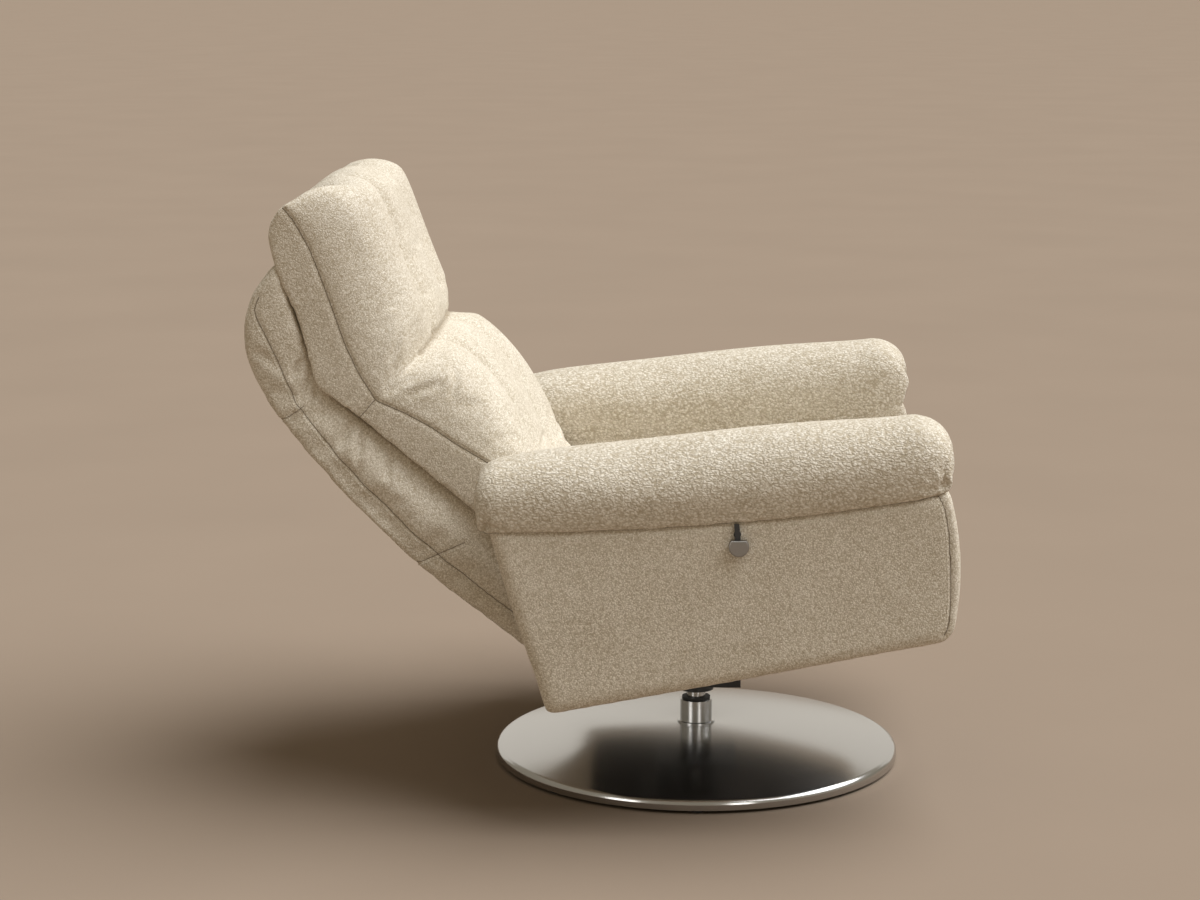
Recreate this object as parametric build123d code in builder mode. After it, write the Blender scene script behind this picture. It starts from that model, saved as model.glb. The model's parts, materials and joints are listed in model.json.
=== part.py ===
"""Swivel recliner on a domed floor disc, built in its reclined pose.

Millimetres, +Z up, the chair faces -Y, and the origin is on the floor under the swivel column.
"""

import os
from math import cos, radians, sin

from build123d import *

# Fits
RUN = 0.05
SEATED = 0.02
LOOSE = 2.0
APART = 0.5

# Floor disc and column
GLIDE_H = 5
GLIDE_R = 9
GLIDE_COUNT = 8
GLIDE_INSET = 16
DISC_R = 300
DISC_RIM_TOP = 20.5
DISC_CROWN_Z = 50
DISC_SHEET = 2.5
BALLAST_T = 9
COLUMN_R = 24
COLUMN_BORE = 18
COLUMN_TOP = 86
RING_R = 28
RING_H = 3
SPINDLE_R = 14
SPINDLE_TOP = 122
BALL_R = 2.8
BALL_CIRCLE = 13
BALL_COUNT = 10
RACE_T = 3
SCREW_R = 5
SCREW_HEAD_R = 9
SCREW_HEAD_ROOM = 5.7

# Tilt mechanism
TILT_Z = 150
TILT_DEG = 10.6
PIN_R = 8
BUSH_T = 3
CHEEK_X = 49
CHEEK_T = 6
EAR_X = 38
EAR_T = 8
HUB_LOW = 100
HOUSING_FLOOR = 116

# Seat frame, along and square to the tilted seat
FRAME_LOW = 82
RAIL_H = 50
RAIL_T = 32
FRAME_REAR = -176
FRAME_FRONT = 345
FRONT_RAIL_TOP = 147
BEAM = 22
BEAM_F = 110
BEAM_R = -55
SPRING_WIRE = 2.2
SPRING_PITCH = 90
SPRING_SWING = 20
SPRING_BAR_W = 22
SPRING_BAR_T = 6
SPRING_BAR_F = -66
SEAT_LOW = 152
SEAT_REAR = -60
SEAT_CROWN = 24

# Arms, on the upright side view
ARM_W = 128
ARM_TOP = 447.5
ARM_BOARD_T = 20
ARM_EDGE_R = 14
ARM_TOE_R = 28
PAD_OVERHANG = 12
PAD_SHIFT = 4
BOLT_R = 4

# Release lever
LEVER_AT = 48.5
LEVER_DROP = 19.4
LEVER_SHAFT_R = 5
CRANK_REACH = 32
KNOB_R = 13.5
CABLE_R = 3
CABLE_H = 139.5
CABLE_BEND = 40

# Recline hinge and back, along and square to the back
HINGE_F = -130
HINGE_Z = 330
BACK_DEG = 44
SHAFT_R = 12
BACK_HALF_W = 283
SHELL_WALL = 16
ARM_PLATE_T = 6
PLATE_GAP = 2
UPRIGHT_W = 25
UPRIGHT_REAR = -140
UPRIGHT_FRONT = -113
TUBE_WALL = 2.5
BACK_CROWN = 107
HEAD_CROWN = 113
CHANNEL_DEEP = 10
CHANNEL_AT = 0.36
CHANNEL_SPREAD = 0.2
CREASE_U = 400
RATCHET_PIN_R = 6
HEAD_TUBE_R = 9

# Gas spring, on the tilted seat
ANCHOR_F = 110
GAS_CLEAR = 2
GAS_LENGTH = 225
GAS_R = 14
GAS_ROD_R = 5
GAS_BOLT_R = 5
GAS_CHEEK_X = 16
GAS_CHEEK_T = 5

# What follows from these sizes
GLIDE_CIRCLE = DISC_R - GLIDE_INSET
GAS_H = FRAME_LOW + BEAM + GAS_R + GAS_CLEAR
BRACKET_X = BACK_HALF_W - SHELL_WALL - ARM_PLATE_T - PLATE_GAP
HINGE_ARM_X = BRACKET_X - ARM_PLATE_T - PLATE_GAP
UPRIGHT_IN = HINGE_ARM_X - UPRIGHT_W
HEAD_PLATE_X = UPRIGHT_IN - ARM_PLATE_T
HEAD_ARM_X = HEAD_PLATE_X - ARM_PLATE_T - PLATE_GAP
HEAD_AXIS = (CREASE_U + 55, -138)
SEAT_HALF_W = BACK_HALF_W + 1
RAIL_IN = BRACKET_X + ARM_PLATE_T
RAIL_OUT = RAIL_IN + RAIL_T
ARM_IN = RAIL_OUT
ARM_OUT = ARM_IN + ARM_W
PAD_X = ARM_IN + ARM_W / 2 + PAD_SHIFT
PAD_HALF = ARM_W / 2 + PAD_OVERHANG
TILT = radians(TILT_DEG)
BACK = radians(BACK_DEG)
BALLAST_TOP = GLIDE_H + BALLAST_T
SEAT_STATIONS = (-1, -0.94, -0.78, -0.45, 0, 0.45, 0.78, 0.94, 1)
BACK_PANELS = (
    (-1, -0.94, -0.78, -0.58, -CHANNEL_AT),
    (-CHANNEL_AT, -0.18, 0, 0.18, CHANNEL_AT),
    (CHANNEL_AT, 0.58, 0.78, 0.94, 1),
)


def side(x=0):
    """Upright side view: local x is forward, local y is up, and extrusions run to the sitter's right."""
    return Plane(origin=(x, 0, 0), x_dir=(0, -1, 0), z_dir=(-1, 0, 0))


def seat(x=0):
    """Side view tilted with the seat about the tilt pin."""
    return Plane(origin=(x, 0, TILT_Z), x_dir=(0, -cos(TILT), sin(TILT)), z_dir=(-1, 0, 0))


def back(x=0):
    """Side view along the back: local x runs up the back, local y out of its front face."""
    return Plane(origin=(x, -HINGE_F, HINGE_Z), x_dir=(0, cos(BACK), sin(BACK)), z_dir=(1, 0, 0))


def across(f):
    """Cross-section that faces forward at a distance in front of the column."""
    return Plane(origin=(0, -f, 0), x_dir=(1, 0, 0), z_dir=(0, -1, 0))


def on_seat(f, z):
    """Turns an upright side-view point into the tilted seat's own point."""
    rise = z - TILT_Z
    return (f * cos(TILT) + rise * sin(TILT), rise * cos(TILT) - f * sin(TILT))


def crown(t):
    """Share of a cushion's full crown at a share of its half width."""
    return (1 - abs(t) ** 4) ** 0.5


def channel(t):
    """Depth of the sewn channels between the back's panels at a share of its half width."""
    near = 1 - abs(abs(t) - CHANNEL_AT) / CHANNEL_SPREAD
    return CHANNEL_DEEP * max(0, near) ** 2


HINGE = on_seat(HINGE_F, HINGE_Z)
LEVER_F, LEVER_H = on_seat(LEVER_AT, ARM_TOP - LEVER_DROP)
GAS_END = (ANCHOR_F - GAS_LENGTH, GAS_H)
GAS_BODY = 150
ROD_START = 100
GAS_PLANE = Plane(
    seat(0).from_local_coords((ANCHOR_F - 8, GAS_H, 0)),
    x_dir=(1, 0, 0),
    z_dir=seat(0).x_dir,
)

os.makedirs("parts", exist_ok=True)


def keep(name, piece):
    piece.part.label = name
    export_step(piece.part, f"parts/{name}.step")


def keep_mirrored(name, piece):
    with BuildPart() as other_side:
        mirror(piece.part, about=Plane.YZ)
    keep(name, other_side)


# Floor disc

with BuildPart() as base_glides:
    with BuildSketch(Plane.XY):
        with PolarLocations(GLIDE_CIRCLE, GLIDE_COUNT):
            Circle(GLIDE_R)
    extrude(amount=GLIDE_H)
keep("base_glides", base_glides)

with BuildPart() as base_plate:
    with BuildSketch(Plane.XY.offset(GLIDE_H)):
        Circle(DISC_R - 2 * DISC_SHEET)
    extrude(amount=BALLAST_T)
    with BuildSketch(Plane.XY.offset(GLIDE_H)):
        Circle(SCREW_HEAD_R + 1)
    extrude(amount=SCREW_HEAD_ROOM, mode=Mode.SUBTRACT)
    with BuildSketch(Plane.XY.offset(GLIDE_H)):
        Circle(SCREW_R + 0.6)
    extrude(amount=BALLAST_T, mode=Mode.SUBTRACT)
keep("base_plate", base_plate)

with BuildPart() as base_cover:
    with BuildSketch(Plane.XZ):
        with BuildLine():
            hub = COLUMN_R + APART
            dome = ThreePointArc((hub, DISC_CROWN_Z), (160, 41.6), (DISC_R - 7, DISC_RIM_TOP))
            rim = TangentArc(dome @ 1, (DISC_R, DISC_RIM_TOP - 7.5), tangent=dome % 1)
            Line(rim @ 1, (DISC_R, GLIDE_H))
            Line((DISC_R, GLIDE_H), (DISC_R - DISC_SHEET, GLIDE_H))
            Line((DISC_R - DISC_SHEET, GLIDE_H), (DISC_R - DISC_SHEET, DISC_RIM_TOP - 8))
            Line((DISC_R - DISC_SHEET, DISC_RIM_TOP - 8), (DISC_R - 8, DISC_RIM_TOP - DISC_SHEET))
            ThreePointArc(
                (DISC_R - 8, DISC_RIM_TOP - DISC_SHEET),
                (160, 41.6 - DISC_SHEET),
                (hub, DISC_CROWN_Z - DISC_SHEET),
            )
            Line((hub, DISC_CROWN_Z - DISC_SHEET), (hub, DISC_CROWN_Z))
        make_face()
    revolve(axis=Axis.Z)
keep("base_cover", base_cover)

with BuildPart() as column_tube:
    with BuildSketch(Plane.XZ):
        with BuildLine():
            Polyline(
                (COLUMN_BORE, BALLAST_TOP),
                (COLUMN_R, BALLAST_TOP),
                (COLUMN_R, DISC_CROWN_Z),
                (RING_R, DISC_CROWN_Z),
                (RING_R, DISC_CROWN_Z + RING_H - 1),
                (RING_R - 1, DISC_CROWN_Z + RING_H),
                (COLUMN_R, DISC_CROWN_Z + RING_H),
                (COLUMN_R, COLUMN_TOP - 1.5),
                (COLUMN_R - 1.5, COLUMN_TOP),
                (COLUMN_BORE, COLUMN_TOP),
                close=True,
            )
        make_face()
    revolve(axis=Axis.Z)
keep("column_tube", column_tube)

with BuildPart() as swivel_bush:
    with BuildSketch(Plane.XZ):
        with BuildLine():
            Polyline(
                (SPINDLE_R + RUN, COLUMN_TOP - 26),
                (COLUMN_BORE - SEATED, COLUMN_TOP - 26),
                (COLUMN_BORE - SEATED, COLUMN_TOP),
                (COLUMN_R - 3, COLUMN_TOP),
                (COLUMN_R - 3, COLUMN_TOP + 2.5),
                (SPINDLE_R + RUN, COLUMN_TOP + 2.5),
                close=True,
            )
        make_face()
    revolve(axis=Axis.Z)
keep("swivel_bush", swivel_bush)

BALL_Z = BALLAST_TOP + RACE_T + BALL_R + 0.2
SPINDLE_LOW = BALL_Z + BALL_R + 0.2

with BuildPart() as bearing_race:
    with BuildSketch(Plane.XY.offset(BALLAST_TOP)):
        Circle(COLUMN_BORE - APART)
        Circle(SCREW_R + 3, mode=Mode.SUBTRACT)
    extrude(amount=RACE_T)
keep("bearing_race", bearing_race)

with BuildPart() as bearing_balls:
    with Locations((0, 0, BALL_Z)):
        with PolarLocations(BALL_CIRCLE, BALL_COUNT):
            Sphere(BALL_R)
keep("bearing_balls", bearing_balls)

# Spindle and tilt housing, which swivel

with BuildPart() as spindle:
    with BuildSketch(Plane.XY.offset(SPINDLE_LOW)):
        Circle(COLUMN_BORE - APART)
    extrude(amount=RACE_T)
    with BuildSketch(Plane.XY.offset(SPINDLE_LOW)):
        Circle(SPINDLE_R)
    extrude(amount=SPINDLE_TOP - SPINDLE_LOW)
    with BuildSketch(Plane.XY.offset(SPINDLE_LOW)):
        Circle(SCREW_R)
    extrude(amount=36, mode=Mode.SUBTRACT)
keep("spindle", spindle)

with BuildPart() as spindle_screw:
    with BuildSketch(Plane.XY.offset(GLIDE_H + 0.5)):
        Circle(SCREW_HEAD_R)
        RegularPolygon(4, 6, mode=Mode.SUBTRACT)
    extrude(amount=5)
    with BuildSketch(Plane.XY.offset(GLIDE_H + 3.5)):
        Circle(SCREW_R - SEATED)
    extrude(amount=50)
keep("spindle_screw", spindle_screw)

with BuildPart() as tilt_housing:
    with BuildSketch(Plane.XY.offset(HUB_LOW)):
        Circle(SPINDLE_R + 12)
    extrude(amount=HOUSING_FLOOR - HUB_LOW)
    with BuildSketch(Plane.XY.offset(HOUSING_FLOOR)):
        Rectangle(2 * (CHEEK_X + CHEEK_T), 130)
    extrude(amount=CHEEK_T)
    with BuildSketch(side(-CHEEK_X)):
        with BuildLine():
            Polyline((-65, HOUSING_FLOOR), (65, HOUSING_FLOOR), (65, HOUSING_FLOOR + 12), (18, TILT_Z))
            ThreePointArc((18, TILT_Z), (0, TILT_Z + 18), (-18, TILT_Z))
            Polyline((-18, TILT_Z), (-65, HOUSING_FLOOR + 12), (-65, HOUSING_FLOOR))
        make_face()
        with Locations((0, TILT_Z)):
            Circle(PIN_R + SEATED, mode=Mode.SUBTRACT)
    extrude(amount=CHEEK_T)
    mirror(about=Plane.YZ)
    with BuildSketch(Plane.XY.offset(HUB_LOW)):
        Circle(SPINDLE_R + SEATED)
    extrude(amount=SPINDLE_TOP - HUB_LOW, mode=Mode.SUBTRACT)
keep("tilt_housing", tilt_housing)

with BuildPart() as tilt_pin:
    with BuildSketch(side(0)):
        with Locations((0, TILT_Z)):
            Circle(PIN_R)
    extrude(amount=CHEEK_X + CHEEK_T + 4, both=True)
    chamfer(tilt_pin.edges(), length=1)
keep("tilt_pin", tilt_pin)

# Tilting seat frame

with BuildPart() as tilt_cradle:
    with BuildSketch(seat(-EAR_X)):
        with BuildLine():
            ThreePointArc((-16, 0), (0, -16), (16, 0))
            Polyline((16, 0), (60, FRAME_LOW - 8), (-60, FRAME_LOW - 8), (-16, 0))
        make_face()
        Circle(PIN_R + BUSH_T, mode=Mode.SUBTRACT)
    extrude(amount=EAR_T)
    mirror(about=Plane.YZ)
    with BuildSketch(seat(0)):
        with Locations(((BEAM_F + BEAM_R) / 2, FRAME_LOW - 4)):
            Rectangle(BEAM_F - BEAM_R + 60, 8)
    extrude(amount=EAR_X + EAR_T, both=True)
keep("tilt_cradle", tilt_cradle)

with BuildPart() as tilt_bushes:
    for x in (-EAR_X + 1, EAR_X + EAR_T + 1):
        with BuildSketch(seat(x)):
            Circle(PIN_R + BUSH_T - SEATED)
            Circle(PIN_R + RUN, mode=Mode.SUBTRACT)
        extrude(amount=EAR_T + 2)
keep("tilt_bushes", tilt_bushes)

with BuildPart() as seat_beams:
    for f in (BEAM_R, BEAM_F):
        with BuildSketch(seat(RAIL_IN)):
            with Locations((f, FRAME_LOW + BEAM / 2)):
                Rectangle(BEAM, BEAM)
                Rectangle(BEAM - 5, BEAM - 5, mode=Mode.SUBTRACT)
        extrude(amount=2 * RAIL_IN)
keep("seat_beams", seat_beams)

BOLT_SPOTS = [(30, FRAME_LOW + RAIL_H / 2), (250, FRAME_LOW + RAIL_H / 2)]

with BuildPart() as seat_rail_right:
    with BuildSketch(seat(-RAIL_IN)):
        with BuildLine():
            Polyline(
                (FRAME_REAR, FRAME_LOW),
                (FRAME_FRONT, FRAME_LOW),
                (FRAME_FRONT, FRAME_LOW + RAIL_H),
                (FRAME_REAR + 40, FRAME_LOW + RAIL_H),
                (FRAME_REAR, FRAME_LOW + 30),
                close=True,
            )
        make_face()
        with Locations(*BOLT_SPOTS):
            Circle(BOLT_R + RUN, mode=Mode.SUBTRACT)
    extrude(amount=RAIL_OUT - RAIL_IN)
keep("seat_rail_right", seat_rail_right)
keep_mirrored("seat_rail_left", seat_rail_right)

with BuildPart() as front_rail:
    with BuildSketch(seat(RAIL_IN)):
        with Locations((FRAME_FRONT - 15, (FRAME_LOW + FRONT_RAIL_TOP) / 2)):
            Rectangle(30, FRONT_RAIL_TOP - FRAME_LOW)
    extrude(amount=2 * RAIL_IN)
keep("front_rail", front_rail)

with BuildPart() as rear_rail:
    with BuildSketch(seat(RAIL_IN)):
        with Locations((FRAME_REAR + 13, FRAME_LOW + 15)):
            Rectangle(26, 30)
    extrude(amount=2 * RAIL_IN)
keep("rear_rail", rear_rail)

with BuildPart() as spring_bar:
    with BuildSketch(seat(BRACKET_X)):
        with Locations((SPRING_BAR_F, FRONT_RAIL_TOP - SPRING_BAR_T / 2)):
            RectangleRounded(SPRING_BAR_W, SPRING_BAR_T, 1.5)
    extrude(amount=2 * BRACKET_X)
keep("spring_bar", spring_bar)

SPRING_H = FRONT_RAIL_TOP + SPRING_WIRE + 0.1
SPRING_BENDS = 9
SPRING_FRONT = FRAME_FRONT - 12
SPRING_STEP = (SPRING_FRONT - SPRING_BAR_F) / SPRING_BENDS
SPRING_PLANE = Plane(seat(0).from_local_coords((0, SPRING_H, 0)), x_dir=(1, 0, 0), z_dir=seat(0).y_dir)


def spring_path(x):
    """Zigzag points, left and right of one spring's middle, from the rear bar to the front rail."""
    points = [(x - SPRING_SWING, -SPRING_BAR_F + 4)]
    for bend in range(SPRING_BENDS + 1):
        f = SPRING_BAR_F + bend * SPRING_STEP
        swing = SPRING_SWING if bend % 2 == 0 else -SPRING_SWING
        points.append((x + swing, -f))
        points.append((x + swing, -f - SPRING_STEP * 0.5))
    return points[:-1]


with BuildPart() as seat_springs:
    for row in (-1.5, -0.5, 0.5, 1.5):
        with BuildLine(SPRING_PLANE):
            wire = FilletPolyline(*spring_path(row * SPRING_PITCH), radius=8)
        with BuildSketch(Plane(wire @ 0, z_dir=wire % 0)):
            RegularPolygon(SPRING_WIRE, 6)
        sweep(path=wire)
keep("seat_springs", seat_springs)

with BuildPart() as seat_cushion:
    for t in SEAT_STATIONS:
        rise = SEAT_CROWN * crown(t)
        draw = 6 * abs(t) ** 6
        with BuildSketch(seat(t * SEAT_HALF_W)):
            with BuildLine():
                Line((SEAT_REAR, SEAT_LOW), (350 - draw, SEAT_LOW))
                ThreePointArc((350 - draw, SEAT_LOW), (373 - draw, 196), (338 - draw, 230 + 0.8 * rise))
                ThreePointArc((338 - draw, 230 + 0.8 * rise), (140, 235 + rise), (-46, 226 + 0.6 * rise))
                Line((-46, 226 + 0.6 * rise), (SEAT_REAR, 205))
                Line((SEAT_REAR, 205), (SEAT_REAR, SEAT_LOW))
            make_face()
    loft()
keep("seat_cushion", seat_cushion)

with BuildPart() as front_panel:
    with BuildSketch(seat(ARM_IN - 3)):
        with Locations((FRAME_FRONT + 9, (FRAME_LOW + FRONT_RAIL_TOP) / 2)):
            RectangleRounded(18, FRONT_RAIL_TOP - FRAME_LOW, 6)
    extrude(amount=2 * ARM_IN - 6)
keep("front_panel", front_panel)

UNDERSIDE_T = 1.2
UNDERSIDE_PLANE = Plane(
    seat(0).from_local_coords((0, FRAME_LOW - UNDERSIDE_T, 0)),
    x_dir=(1, 0, 0),
    z_dir=seat(0).y_dir,
)

with BuildPart() as underside_cover:
    with BuildSketch(UNDERSIDE_PLANE):
        with BuildLine():
            Polyline(
                (-RAIL_OUT, -FRAME_FRONT),
                (RAIL_OUT, -FRAME_FRONT),
                (RAIL_OUT, -FRAME_REAR),
                (-RAIL_OUT, -FRAME_REAR),
                close=True,
            )
        make_face()
        with Locations((0, -(BEAM_F + BEAM_R) / 2)):
            Rectangle(2 * (EAR_X + EAR_T) + 6, BEAM_F - BEAM_R + 66, mode=Mode.SUBTRACT)
    extrude(amount=UNDERSIDE_T)
keep("underside_cover", underside_cover)

# Arms

ARM_TOP_BACK = (-281, ARM_TOP - 14.5)
ARM_TOP_MID = (45, ARM_TOP)
ARM_TOP_FRONT = (326, ARM_TOP + 38.5)
ARM_LOW_BACK = (-203, 187)
ARM_LOW_FRONT = (335, 288)


def arm_outline():
    """Side view of an arm panel, inside a line builder."""
    ThreePointArc(ARM_TOP_BACK, ARM_TOP_MID, ARM_TOP_FRONT)
    ThreePointArc(ARM_TOP_FRONT, (343, ARM_TOP - 55.5), ARM_LOW_FRONT)
    Line(ARM_LOW_FRONT, ARM_LOW_BACK)
    ThreePointArc(ARM_LOW_BACK, (-236, ARM_TOP - 167.5), ARM_TOP_BACK)


def arm_board_outline():
    """Side view of the board inside an arm, set in from the panel's edge."""
    Polyline(
        (-250, ARM_TOP - 37.5),
        (-190, 212),
        (300, 303),
        (317, 340),
        (317, ARM_TOP - 47.5),
        (303, ARM_TOP + 8.5),
        (45, ARM_TOP - 24.5),
        close=True,
    )


with BuildPart() as arm_frame_left:
    with BuildSketch(side(ARM_IN + ARM_BOARD_T)):
        with BuildLine():
            arm_board_outline()
        make_face()
    extrude(amount=ARM_BOARD_T)
    with BuildSketch(seat(ARM_IN + ARM_BOARD_T)):
        with Locations(*BOLT_SPOTS):
            Circle(BOLT_R + RUN)
    extrude(amount=ARM_BOARD_T, mode=Mode.SUBTRACT)
keep("arm_frame_left", arm_frame_left)

with BuildPart() as arm_frame_right:
    mirror(arm_frame_left.part, about=Plane.YZ)
    with BuildSketch(seat(-ARM_IN)):
        with Locations((LEVER_F + CRANK_REACH, CABLE_H)):
            Circle(CABLE_R + 2)
    extrude(amount=ARM_BOARD_T, mode=Mode.SUBTRACT)
keep("arm_frame_right", arm_frame_right)

with BuildPart() as arm_cover_left:
    with BuildSketch(side(ARM_OUT)) as panel:
        with BuildLine():
            arm_outline()
        make_face()
        corners = panel.vertices().sort_by(Axis.X)
        fillet(corners[-1], radius=ARM_TOE_R)
        fillet(corners[:3], radius=ARM_EDGE_R)
    extrude(amount=ARM_OUT - ARM_IN)
    fillet(arm_cover_left.faces().sort_by(Axis.X)[-1].edges(), radius=ARM_EDGE_R - 2)
    with BuildSketch(side(ARM_IN + ARM_BOARD_T)):
        with BuildLine():
            arm_board_outline()
        make_face()
    extrude(amount=ARM_BOARD_T, mode=Mode.SUBTRACT)
keep("arm_cover_left", arm_cover_left)

LEVER_ROOM_OUT = ARM_OUT - 17

with BuildPart() as arm_cover_right:
    mirror(arm_cover_left.part, about=Plane.YZ)
    with BuildSketch(seat(-ARM_IN - ARM_BOARD_T)):
        with Locations((LEVER_F + 17, (CABLE_H + LEVER_H) / 2)):
            Rectangle(72, LEVER_H - CABLE_H + 26)
    extrude(amount=LEVER_ROOM_OUT - ARM_IN - ARM_BOARD_T, mode=Mode.SUBTRACT)
    with BuildSketch(seat(-ARM_IN)):
        with Locations((LEVER_F, LEVER_H)):
            Circle(LEVER_SHAFT_R + 4)
    extrude(amount=ARM_OUT - ARM_IN, mode=Mode.SUBTRACT)
keep("arm_cover_right", arm_cover_right)

# Pad sections: place forward, underside and top from the arm's top, share of the half width
PAD_REAR_END = (
    (-303, 4.5, 42.5, 0.66),
    (-293, -13.5, 60.5, 0.87),
    (-279, -19.5, 69.5, 0.95),
    (-262, -21.5, 73.5, 0.97),
)
PAD_LENGTH = (
    (-262, -21.5, 73.5, 0.97),
    (-154, -19.5, 88.5, 1),
    (-45, -13.5, 99.5, 1),
    (63, -5.5, 113.5, 1),
    (172, 8.5, 123.5, 1),
    (280, 24.5, 133.5, 0.99),
)
PAD_FRONT_END = (
    (280, 24.5, 133.5, 0.99),
    (304, 31.5, 130.5, 0.96),
    (322, 40.5, 120.5, 0.87),
    (336, 58.5, 99.5, 0.66),
)

with BuildPart() as arm_pad_right:
    for stretch in (PAD_REAR_END, PAD_LENGTH, PAD_FRONT_END):
        for f, under, over, share in stretch:
            low = ARM_TOP + under
            high = ARM_TOP + over
            tall = high - low
            half = PAD_HALF * share
            with BuildSketch(across(f)):
                with BuildLine():
                    shoulder = high - 0.12 * tall
                    waist = low + 0.45 * tall
                    Line((-PAD_X - 0.8 * half, low), (-PAD_X + 0.8 * half, low))
                    ThreePointArc(
                        (-PAD_X + 0.8 * half, low),
                        (-PAD_X + half, waist),
                        (-PAD_X + 0.7 * half, shoulder),
                    )
                    ThreePointArc(
                        (-PAD_X + 0.7 * half, shoulder),
                        (-PAD_X, high),
                        (-PAD_X - 0.7 * half, shoulder),
                    )
                    ThreePointArc(
                        (-PAD_X - 0.7 * half, shoulder),
                        (-PAD_X - half, waist),
                        (-PAD_X - 0.8 * half, low),
                    )
                make_face()
        loft()
    with BuildSketch(side(-ARM_IN + 40)):
        with BuildLine():
            ThreePointArc(ARM_TOP_BACK, ARM_TOP_MID, ARM_TOP_FRONT)
            Polyline(
                ARM_TOP_FRONT,
                (345, ARM_TOP + 44.5),
                (345, ARM_TOP - 67.5),
                (-310, ARM_TOP - 67.5),
                (-310, ARM_TOP - 7.5),
                ARM_TOP_BACK,
            )
        make_face()
    extrude(amount=2 * PAD_HALF + 70, mode=Mode.SUBTRACT)
keep("arm_pad_right", arm_pad_right)
keep_mirrored("arm_pad_left", arm_pad_right)

with BuildPart() as arm_bolts:
    with BuildSketch(seat(-RAIL_IN + 5)):
        with Locations(*BOLT_SPOTS):
            RegularPolygon(7, 6)
    extrude(amount=5)
    with BuildSketch(seat(-RAIL_IN + 2)):
        with Locations(*BOLT_SPOTS):
            Circle(BOLT_R)
    extrude(amount=RAIL_OUT - RAIL_IN + ARM_BOARD_T - 4)
    mirror(about=Plane.YZ)
keep("arm_bolts", arm_bolts)

# Recline hinge on the seat

with BuildPart() as hinge_bracket_right:
    with BuildSketch(seat(-BRACKET_X)):
        with BuildLine():
            Polyline(
                (HINGE[0] - 24, HINGE[1]),
                (-150, FRAME_LOW + RAIL_H - 6),
                (-150, FRAME_LOW + 4),
                (-67, FRAME_LOW + 4),
                (-67, FRAME_LOW + RAIL_H - 6),
                (HINGE[0] + 24, HINGE[1]),
            )
            ThreePointArc(
                (HINGE[0] + 24, HINGE[1]),
                (HINGE[0], HINGE[1] + 24),
                (HINGE[0] - 24, HINGE[1]),
            )
        make_face()
        with Locations(HINGE):
            Circle(SHAFT_R + BUSH_T, mode=Mode.SUBTRACT)
    extrude(amount=ARM_PLATE_T)
keep("hinge_bracket_right", hinge_bracket_right)
keep_mirrored("hinge_bracket_left", hinge_bracket_right)

with BuildPart() as hinge_bushes:
    for x in (-BRACKET_X + 1, BRACKET_X + ARM_PLATE_T + 1):
        with BuildSketch(seat(x)):
            with Locations(HINGE):
                Circle(SHAFT_R + BUSH_T - SEATED)
                Circle(SHAFT_R + RUN, mode=Mode.SUBTRACT)
        extrude(amount=ARM_PLATE_T + 2)
keep("hinge_bushes", hinge_bushes)

with BuildPart() as gas_anchor:
    with BuildSketch(seat(-GAS_CHEEK_X)):
        with BuildLine():
            Polyline(
                (ANCHOR_F - 14, FRAME_LOW + BEAM),
                (ANCHOR_F + 14, FRAME_LOW + BEAM),
                (ANCHOR_F + 12, GAS_H),
            )
            ThreePointArc((ANCHOR_F + 12, GAS_H), (ANCHOR_F, GAS_H + 12), (ANCHOR_F - 12, GAS_H))
            Line((ANCHOR_F - 12, GAS_H), (ANCHOR_F - 14, FRAME_LOW + BEAM))
        make_face()
        with Locations((ANCHOR_F, GAS_H)):
            Circle(GAS_BOLT_R + SEATED, mode=Mode.SUBTRACT)
    extrude(amount=GAS_CHEEK_T)
    mirror(about=Plane.YZ)
    with BuildSketch(seat(0)):
        with Locations((ANCHOR_F, FRAME_LOW + BEAM + 0.8)):
            Rectangle(28, 1.6)
    extrude(amount=GAS_CHEEK_X + GAS_CHEEK_T, both=True)
keep("gas_anchor", gas_anchor)


def gas_bolt(spot, x_end):
    """Bolt across the gas spring at a point of the tilted seat, inside a part builder."""
    with BuildSketch(seat(x_end)) as shank:
        with Locations(spot):
            Circle(GAS_BOLT_R)
    extrude(shank.sketch, amount=2 * x_end)
    for x in (x_end + 4, -x_end):
        with BuildSketch(seat(x)) as head:
            with Locations(spot):
                RegularPolygon(9, 6)
        extrude(head.sketch, amount=4)


with BuildPart() as anchor_bolt:
    gas_bolt((ANCHOR_F, GAS_H), GAS_CHEEK_X + GAS_CHEEK_T)
keep("anchor_bolt", anchor_bolt)

# Release lever and its cable

BRACKET_FACE = ARM_IN + ARM_BOARD_T
CRANK_X = BRACKET_FACE + 35
CABLE_X = CRANK_X + 2.5
CABLE_TOP = seat(-CABLE_X).from_local_coords((LEVER_F + CRANK_REACH, LEVER_H - 20, 0))
CABLE_PLANE = Plane(CABLE_TOP, x_dir=(1, 0, 0), z_dir=seat(0).y_dir)

with BuildPart() as lever_bracket:
    with BuildSketch(seat(-BRACKET_FACE)):
        with Locations((LEVER_F + 14, LEVER_H - 12)):
            RectangleRounded(56, 44, 5)
        with Locations((LEVER_F, LEVER_H)):
            Circle(LEVER_SHAFT_R + RUN, mode=Mode.SUBTRACT)
    extrude(amount=3)
    with BuildSketch(seat(-BRACKET_FACE)):
        with Locations((LEVER_F, LEVER_H)):
            Circle(LEVER_SHAFT_R + 5)
            Circle(LEVER_SHAFT_R + RUN, mode=Mode.SUBTRACT)
    extrude(amount=30)
    with BuildSketch(seat(-BRACKET_FACE)):
        with Locations((LEVER_F + CRANK_REACH, LEVER_H - 26)):
            Rectangle(16, 4)
    extrude(amount=CABLE_X + 8 - BRACKET_FACE)
    with BuildSketch(CABLE_PLANE):
        Circle(CABLE_R + SEATED)
    extrude(amount=60, both=True, mode=Mode.SUBTRACT)
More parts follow.
